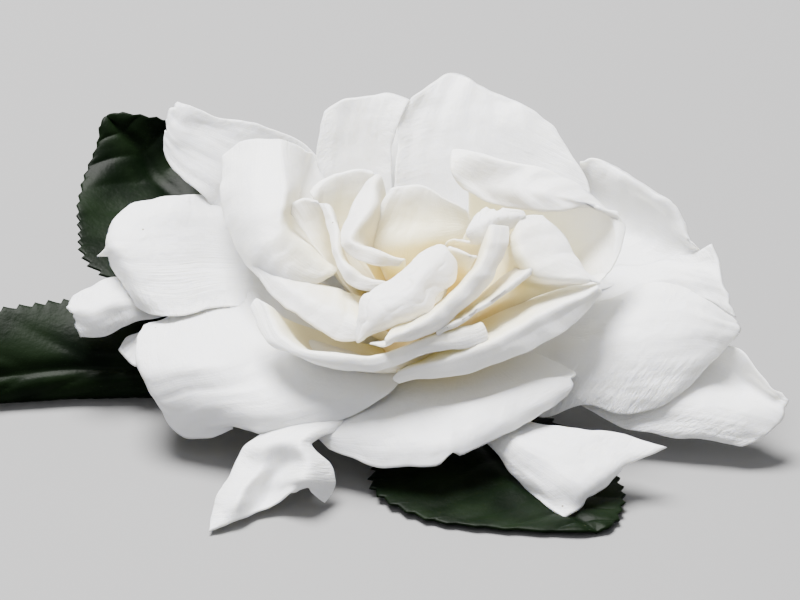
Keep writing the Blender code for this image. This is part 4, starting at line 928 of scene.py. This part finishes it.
def blade_mesh(name, sheet, thickness, maps=None):
    """A mesh round a sheet: even in thickness, round at its margins, with its own map."""
    near = np.clip(sheet.to_rim / (ROUNDING * thickness), 0, 1)
    half = thickness / 2 * np.sqrt(1 - (1 - near)**2)
    offset = sheet.normals() * half[..., None]
    rows, columns = sheet.u.shape
    top = np.arange(rows * columns).reshape(rows, columns)
    if sheet.pointed:
        top[-1] = top[-1, 0]
    bottom = top + rows * columns
    bottom[:, 0] = top[:, 0]
    bottom[:, -1] = top[:, -1]
    bottom[-1] = top[-1]
    places = metres(np.concatenate([(sheet.points + offset).reshape(-1, 3),
                                    (sheet.points - offset).reshape(-1, 3)]))
    faces = []
    for side, layer in ((1, top), (-1, bottom)):
        a, b, c, d = layer[:-1, :-1], layer[:-1, 1:], layer[1:, 1:], layer[1:, :-1]
        quads = np.stack([a, b, c, d], -1).reshape(-1, 4).tolist()
        faces += [list(dict.fromkeys(quad))[::side] for quad in quads]
    wall = np.stack([top[0, 1:], top[0, :-1], bottom[0, :-1], bottom[0, 1:]], -1).tolist()
    faces += [list(dict.fromkeys(quad)) for quad in wall]
    used = np.unique(np.concatenate([np.ravel(face) for face in faces]))
    place_of = np.full(len(places), -1)
    place_of[used] = np.arange(len(used))
    faces = [[int(place_of[k]) for k in face] for face in faces]
    mesh = bpy.data.meshes.new(name)
    mesh.from_pydata(places[used].tolist(), [], faces)
    mesh.shade_smooth()
    for key, value in (maps or {}).items():
        set_map(mesh, key, np.broadcast_to(value, (2, rows, columns)).ravel()[used])
    across = np.tile(sheet.u.ravel() / 2 + 0.5, 2)[used]
    along = np.tile(np.broadcast_to(sheet.v, (rows, columns)).ravel(), 2)[used]
    corner = np.empty(len(mesh.loops), np.int32)
    mesh.loops.foreach_get("vertex_index", corner)
    layer = mesh.uv_layers.new(name="petal_map")
    layer.data.foreach_set("uv", np.stack([across[corner], along[corner]], -1).astype(np.float32).ravel())
    mesh.update()
    return mesh


def set_map(mesh, name, values):
    """Gives each point of a mesh a value."""
    mesh.attributes.new(name, "FLOAT", "POINT").data.foreach_set("value", np.asarray(values, np.float32))


def dress(name, mesh, finish, slot, *nodes):
    """Puts a mesh in the scene as a piece that rides on the part and stands for CAD nodes."""
    piece = add_object(name, mesh)
    mesh.materials.clear()
    mesh.materials.append(finish)
    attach(piece, BODY)
    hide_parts(*nodes)
    return piece


def rings_piece(name, rings, finish, slot, node):
    """A closed piece through rings of points, each ring with the same number of points."""
    mesh = bpy.data.meshes.new(name)
    bm = bmesh.new()
    loops = [[bm.verts.new(point) for point in metres(ring)] for ring in rings]
    for low, high in zip(loops, loops[1:]):
        for j in range(len(low)):
            k = (j + 1) % len(low)
            bm.faces.new((low[j], low[k], high[k], high[j]))
    bm.faces.new(loops[0][::-1])
    bm.faces.new(loops[-1])
    bmesh.ops.recalc_face_normals(bm, faces=bm.faces)
    for face in bm.faces:
        face.smooth = len(face.verts) == 4
    bm.to_mesh(mesh)
    bm.free()
    return dress(name, mesh, finish, slot, node)


def turned(profile, sides, wave=0.0):
    """Rings about the flower's axis for a profile of radii and heights, with a wave for each sepal."""
    turns = np.linspace(0, 2 * pi, sides, endpoint=False)
    rings = []
    for r, height in profile:
        radius = r * (1 + wave * np.cos(SEPALS * turns))
        ring = np.stack([radius * np.cos(turns), radius * np.sin(turns), np.full(sides, float(height))], -1)
        rings.append(flower_to_table(ring))
    return rings


# Petals and heart

def add_nibs(sheet, nibs):
    """Pulls the end margin out or in at some places along it."""
    out = unit(np.gradient(sheet.points, axis=0)[-2][None])
    near_end = ramp(sheet.v, NIBS_START, 1)**2
    for place, reach, width in nibs:
        pull = reach * np.exp(-((sheet.u - place) / width)**2) * near_end
        sheet.points = sheet.points + out * pull[..., None]


def petal_sheet(petal):
    """The shape of one petal with its rolled margins, and how near each of its points is to a margin."""
    turn = radians(petal.heading)
    root = np.array((petal.radius * cos(turn), petal.radius * sin(turn), petal.height))
    aside = petal.radius * np.array((-sin(turn), cos(turn), 0))
    sheet = Sheet([(root + aside, root, root - aside)] + petal.rows, petal.tip, PETAL_COLUMNS, PETAL_ROWS)
    left, right, end = petal.lip
    u = np.abs(sheet.u)
    margin = np.clip((u**CORNER_POWER + sheet.tipness**CORNER_POWER)**(1 / CORNER_POWER), 0, 1)
    roll = np.where(sheet.u < 0, left, right) * np.clip(SIDE_ROLL * u * (1 - sheet.tipness**2), 0, 1)
    roll = roll + end * sheet.tipness**2
    sheet.push(-ramp(margin, LIP_START, 1)**2 * roll)
    add_nibs(sheet, petal.nibs)
    return sheet, margin


def heart_colour(sheet, cream):
    """How much of the heart's colour each side of a petal takes: more near the heart and where it faces it,
    and most in the clefts under the heart's rims, where the amber is partly painted shade."""
    away = sheet.points - np.array(HEART)
    facing = (sheet.normals() * unit(-away * np.array((1, 1, 0)))).sum(axis=2)
    near = np.clip(1 - np.linalg.norm(away, axis=2) / HEART_REACH, 0, 1)**HEART_FADE
    near = near * (1 - END_FADE * sheet.v**2)
    glow = np.stack([near * np.clip(EDGE_ON + FACING * side * facing, *GLOW_RANGE) for side in (1, -1)])
    aside = np.linalg.norm(sheet.points[..., :2] - np.array(CLEFTS), axis=2)
    down = np.clip((CLEFT_TOP - sheet.points[..., 2]) / CLEFT_DEPTH, 0, 1)
    cleft_tint_and_shade = np.clip(CLEFT_LEVEL - aside / CLEFT_SPREAD, 0, 1) * down
    return np.clip(cream * glow + CLEFT_TINT_AND_SHADE * cleft_tint_and_shade, 0, 1)


def make_petal(name, petal, seed, finish):
    """One petal as a piece of its own."""
    sheet, margin = petal_sheet(petal)
    free = ramp(sheet.v, *FREE)
    apart, deep = petal.creases
    uneven = layers(relief, sheet.points, SWELLS, seed) + layers(lengthwise, sheet, FOLDS, seed)
    crumpled = layers(relief, sheet.points, CRUMPLES, seed)
    uneven = uneven + (crumpled - creases(sheet.points, apart, seed + CREASE_SEED) * deep)
    sheet.push(uneven * free)
    waves = layers(wander, sheet.points, MARGIN_WAVES, seed)
    sheet.points = sheet.points + waves * (free * margin**MARGIN_POWER)[..., None]
    heart_tint_and_shade = heart_colour(sheet, petal.cream)
    sheet.points = flower_to_table(sheet.points)
    sheet.keep_above(petal.floor)
    sides = np.clip(np.stack([-sheet.u, sheet.u]), 0, 1)**CRINKLE_POWER
    crinkle = (sides * np.array(petal.crinkle)[:, None, None]).sum(axis=0) * ramp(sheet.v, *CRINKLED)
    maps = {"heart_tint_and_shade": heart_tint_and_shade, "crinkle": crinkle, "pleats": np.zeros(sheet.u.shape)}
    if petal.pleats:
        u, v, across, along = petal.pleats
        maps["pleats"] = np.exp(-((sheet.u - u) / across)**2 - ((sheet.v - v) / along)**2)
    mesh = blade_mesh("petal_" + name, sheet, PETAL_THICKNESS, maps)
    dress(mesh.name, mesh, finish, "petal_white", "bloom")


def make_heart_core(finish):
    """The small core that the petals' roots are sunk in, hardly seen in the clefts and coloured in their
    amber, partly painted shade.
    """
    rings = turned(smooth_line(CORE_PROFILE, PROFILE_STEPS), CORE_SIDES)
    piece = rings_piece("heart_core", rings, finish, "petal_white", "bloom")
    set_map(piece.data, "heart_tint_and_shade", np.full(len(piece.data.vertices), CORE_TINT_AND_SHADE))


# Stem, leaves and calyx

def spokes_round(run):
    """Vectors all round a line that runs that way, each 1 long where it runs straight back."""
    turns = np.linspace(0, 2 * pi, STEM_SIDES, endpoint=False)[:, None]
    aside = np.array((1.0, 0.0, 0.0))
    return aside * np.sin(turns) + np.cross(aside, run) * np.cos(turns)


def make_stem(finish, cut):
    """The short stem, flat where it lies, and its cut end."""
    centre = smooth_line(STEM_PATH, STEM_RINGS)
    runs = unit(np.gradient(centre, axis=0))
    rings = []
    for point, run in zip(centre, runs):
        spokes = spokes_round(run)
        bark = layers(relief, (point + spokes) * BARK_GRAIN, BARK, 0)
        ring = point + (STEM_RADIUS + bark)[:, None] * spokes
        ring[:, 2] = np.maximum(ring[:, 2], STEM_FLAT)
        rings.append(ring)
    rings_piece("stem_bark", rings, finish, "stem_green", "stem")
    spokes = spokes_round(runs[-1])
    discs = [centre[-1] + runs[-1] * out + radius * spokes for radius, out in CUT_RINGS]
    rings_piece("stem_cut", discs, cut, "stem_green", "stem")


def veins_passed(sheet):
    """How many side veins lie between each point of a leaf and its stalk. It is whole on a vein."""
    return (sheet.v - VEIN_SLANT * np.abs(sheet.u) * sheet.half / sheet.half.max()) * SIDE_VEINS


def leaf_sheet(leaf):
    """A leaf's blade with saw teeth that point to its tip, and the skin puffed between its side veins."""
    sheet = Sheet(leaf.rows, leaf.tip, LEAF_COLUMNS, LEAF_ROWS)
    start = sheet.knots[TEETH_FROM] * TEETH_SHARE
    blade = ramp(sheet.v, start, start + TEETH_ONSET)
    across = unit(np.gradient(sheet.points, axis=1))
    u = np.abs(sheet.u)
    phase = sheet.v * sheet.length / TOOTH_PITCH % 1
    near_rim = np.clip(1 - (1 - u) * sheet.half / TOOTH_BAND, 0, 1)
    tooth = TOOTH_DEPTH * phase**TOOTH_POWER * near_rim * blade * np.clip((1 - sheet.v) / TEETH_END, 0, 1)
    sheet.points += across * (np.sign(sheet.u) * tooth)[..., None]
    between = np.abs(veins_passed(sheet) % 1 - 0.5) * 2
    puff = PUFF * (1 - between**DIP_POWER) * ramp(u, 0, PUFF_FULL) * (1 - u**RIM_POWER)
    groove = GROOVE_DEPTH * np.exp(-(u * sheet.half / GROOVE_WIDTH)**2)
    sheet.push((puff - groove) * blade + layers(relief, sheet.points, LEAF_WAVES, 0) * blade)
    sheet.keep_above(LEAF_FLOOR)
    return sheet, start


def vein_lines(sheet, start):
    """The midrib and the side veins of a leaf as one mesh of edges, with how thick each point is."""
    rows, columns = sheet.u.shape
    below = sheet.points - sheet.normals() * VEIN_SINK
    passed = veins_passed(sheet)
    middle = columns // 2
    points, edges, taper = [], [], []

    def line(indices, thick, thin):
        first = len(points)
        for k, (i, j) in enumerate(indices):
            points.append(below[i, j])
            taper.append(thick + (thin - thick) * k / (len(indices) - 1))
            if k:
                edges.append((first + k - 1, first + k))

    line([(i, middle) for i in range(0, rows - MIDRIB_SHORT, MIDRIB_STEP)], *MIDRIB_TAPER)
    for n in range(1, SIDE_VEINS):
        for way in (-1, 1):
            run = []
            for step in range(middle - VEIN_COLUMNS_SHORT):
                j = middle + way * step
                i = int(np.argmin(np.abs(passed[:, j] - n)))
                if 0 < i < rows - VEIN_ROWS_SHORT and sheet.v[i, 0] > start:
                    run.append((i, j))
            if len(run) >= SHORTEST_VEIN:
                line(run, *SIDE_TAPER)
    mesh = bpy.data.meshes.new("vein_lines")
    mesh.from_pydata(metres(points).tolist(), edges, [])
    set_map(mesh, "taper", taper)
    return mesh


def make_leaf(name, leaf, skin, vein, tubes):
    """One leaf: its blade, and its midrib and side veins."""
    sheet, start = leaf_sheet(leaf)
    mesh = blade_mesh(name + "_blade", sheet, LEAF_THICKNESS)
    dress(mesh.name, mesh, skin, name + "_green", name)
    lines = vein_lines(sheet, start)
    veins = tubes.grow(name + "_veins", lines, vein, Thickness=VEIN_THICKNESS * MM, Sides=VEIN_SIDES)
    dress(veins.name, veins, vein, name + "_green", name)


def sepal_mesh():
    """One sepal, which lies along +X in the flower's own frame until round_tree sets it in its place."""
    cup = np.array((0, 0, SEPAL_CUP))
    rows = []
    for reach, height, share in SEPAL_ROWS:
        middle = np.array((reach, 0, height))
        side = np.array((0, SEPAL_WIDTH / 2 * share, 0))
        rows.append((middle + side + cup, middle, middle - side + cup))
    sheet = Sheet(rows, SEPAL_TIP, SEPAL_COLUMNS, SEPAL_LENGTH_ROWS)
    sheet.points = sheet.points + np.array(ORIGIN)
    return blade_mesh("sepal", sheet, SEPAL_THICKNESS)


def rib_line(profile):
    """One rib's line up the calyx, thin at both ends."""
    heights = np.linspace(profile[0, 1] + RIB_INSET, CALYX_TOP - RIB_INSET, RIB_POINTS)
    radii = np.interp(heights, profile[:, 1], profile[:, 0])
    edges = [(k, k + 1) for k in range(RIB_POINTS - 1)]
    line = bpy.data.meshes.new("rib_line")
    line.from_pydata([(r * MM, 0, z * MM) for r, z in zip(radii, heights)], edges, [])
    set_map(line, "taper", np.sin(np.linspace(RIB_BLUNTNESS, pi - RIB_BLUNTNESS, RIB_POINTS)))
    return line


def make_calyx(finish, tubes, around):
    """The calyx cup with its ribs, and the sepals that spread from its rim."""
    profile = [(share * CALYX_RADIUS, CALYX_TOP - down) for share, down in CALYX_PROFILE]
    profile = smooth_line(profile, PROFILE_STEPS)
    rings_piece("calyx_cup", turned(profile, CALYX_SIDES, CALYX_WAVE), finish, "stem_green", "stem")
    place = {"Count": SEPALS, "Start": radians(FIRST_SEPAL), "Place": tuple(metres(BLOOM_BASE)),
             "Lean": (LEAN, 0.0, 0.0)}
    rib = tubes.grow("rib", rib_line(profile), finish, Thickness=RIB_THICKNESS * MM, Sides=RIB_SIDES)
    for name, mesh in (("sepals", sepal_mesh()), ("calyx_ribs", rib)):
        ring = around.grow(name, mesh, finish, **place)
        dress(ring.name, ring, finish, "stem_green", "stem")


# Room

def area_light(name, place, size, power, colour):
    """A round soft light that shines on the part's origin."""
    lamp = bpy.data.lights.new(name, "AREA")
    lamp.shape = "DISK"
    lamp.size = size
    lamp.energy = power
    lamp.color = colour
    obj = add_object(name, lamp)
    obj.location = place
    obj.rotation_euler = (-Vector(place)).to_track_quat("-Z", "Y").to_euler()


def make_room():
    """Pale floor, soft lights and the camera."""
    mesh = bpy.data.meshes.new("floor")
    corners = [(-1, -1), (1, -1), (1, 1), (-1, 1)]
    mesh.from_pydata([(x * FLOOR_REACH, y * FLOOR_REACH, 0) for x, y in corners], [], [(0, 1, 2, 3)])
    mesh.materials.append(floor_finish())
    table = add_object("floor", mesh)
    world = bpy.data.worlds.new("studio")
    bpy.context.scene.world = world
    world.use_nodes = True
    background = world.node_tree.nodes["Background"]
    background.inputs["Color"].default_value = SKY_COLOUR
    background.inputs["Strength"].default_value = SKY_STRENGTH
    area_light("key", place=(-0.16, 0.24, 0.82), size=0.5, power=40.0, colour=(1.0, 0.99, 0.97))
    area_light("fill", place=(-0.1, -0.5, 0.7), size=0.6, power=1.5, colour=(0.98, 0.99, 1.0))
    view = bpy.data.cameras.new("view")
    view.lens = LENS
    view.sensor_width = SENSOR
    camera = add_object("view", view)
    camera.location = metres(EYE)
    camera.rotation_euler = (radians(90 - LOOK_DOWN), 0, 0)
    bpy.context.scene.camera = camera


def main():
    petal = petal_finish()
    for seed, (name, shape) in enumerate(PETALS.items()):
        make_petal(name, shape, seed, petal)
    make_heart_core(petal)
    make_stem(stem_finish(), cut_finish())
    tubes, around = tube_tree(), round_tree()
    make_calyx(calyx_finish(), tubes, around)
    skin, vein = leaf_finish(), vein_finish()
    for name, leaf in LEAVES.items():
        make_leaf(name, leaf, skin, vein, tubes)
    make_room()


main()
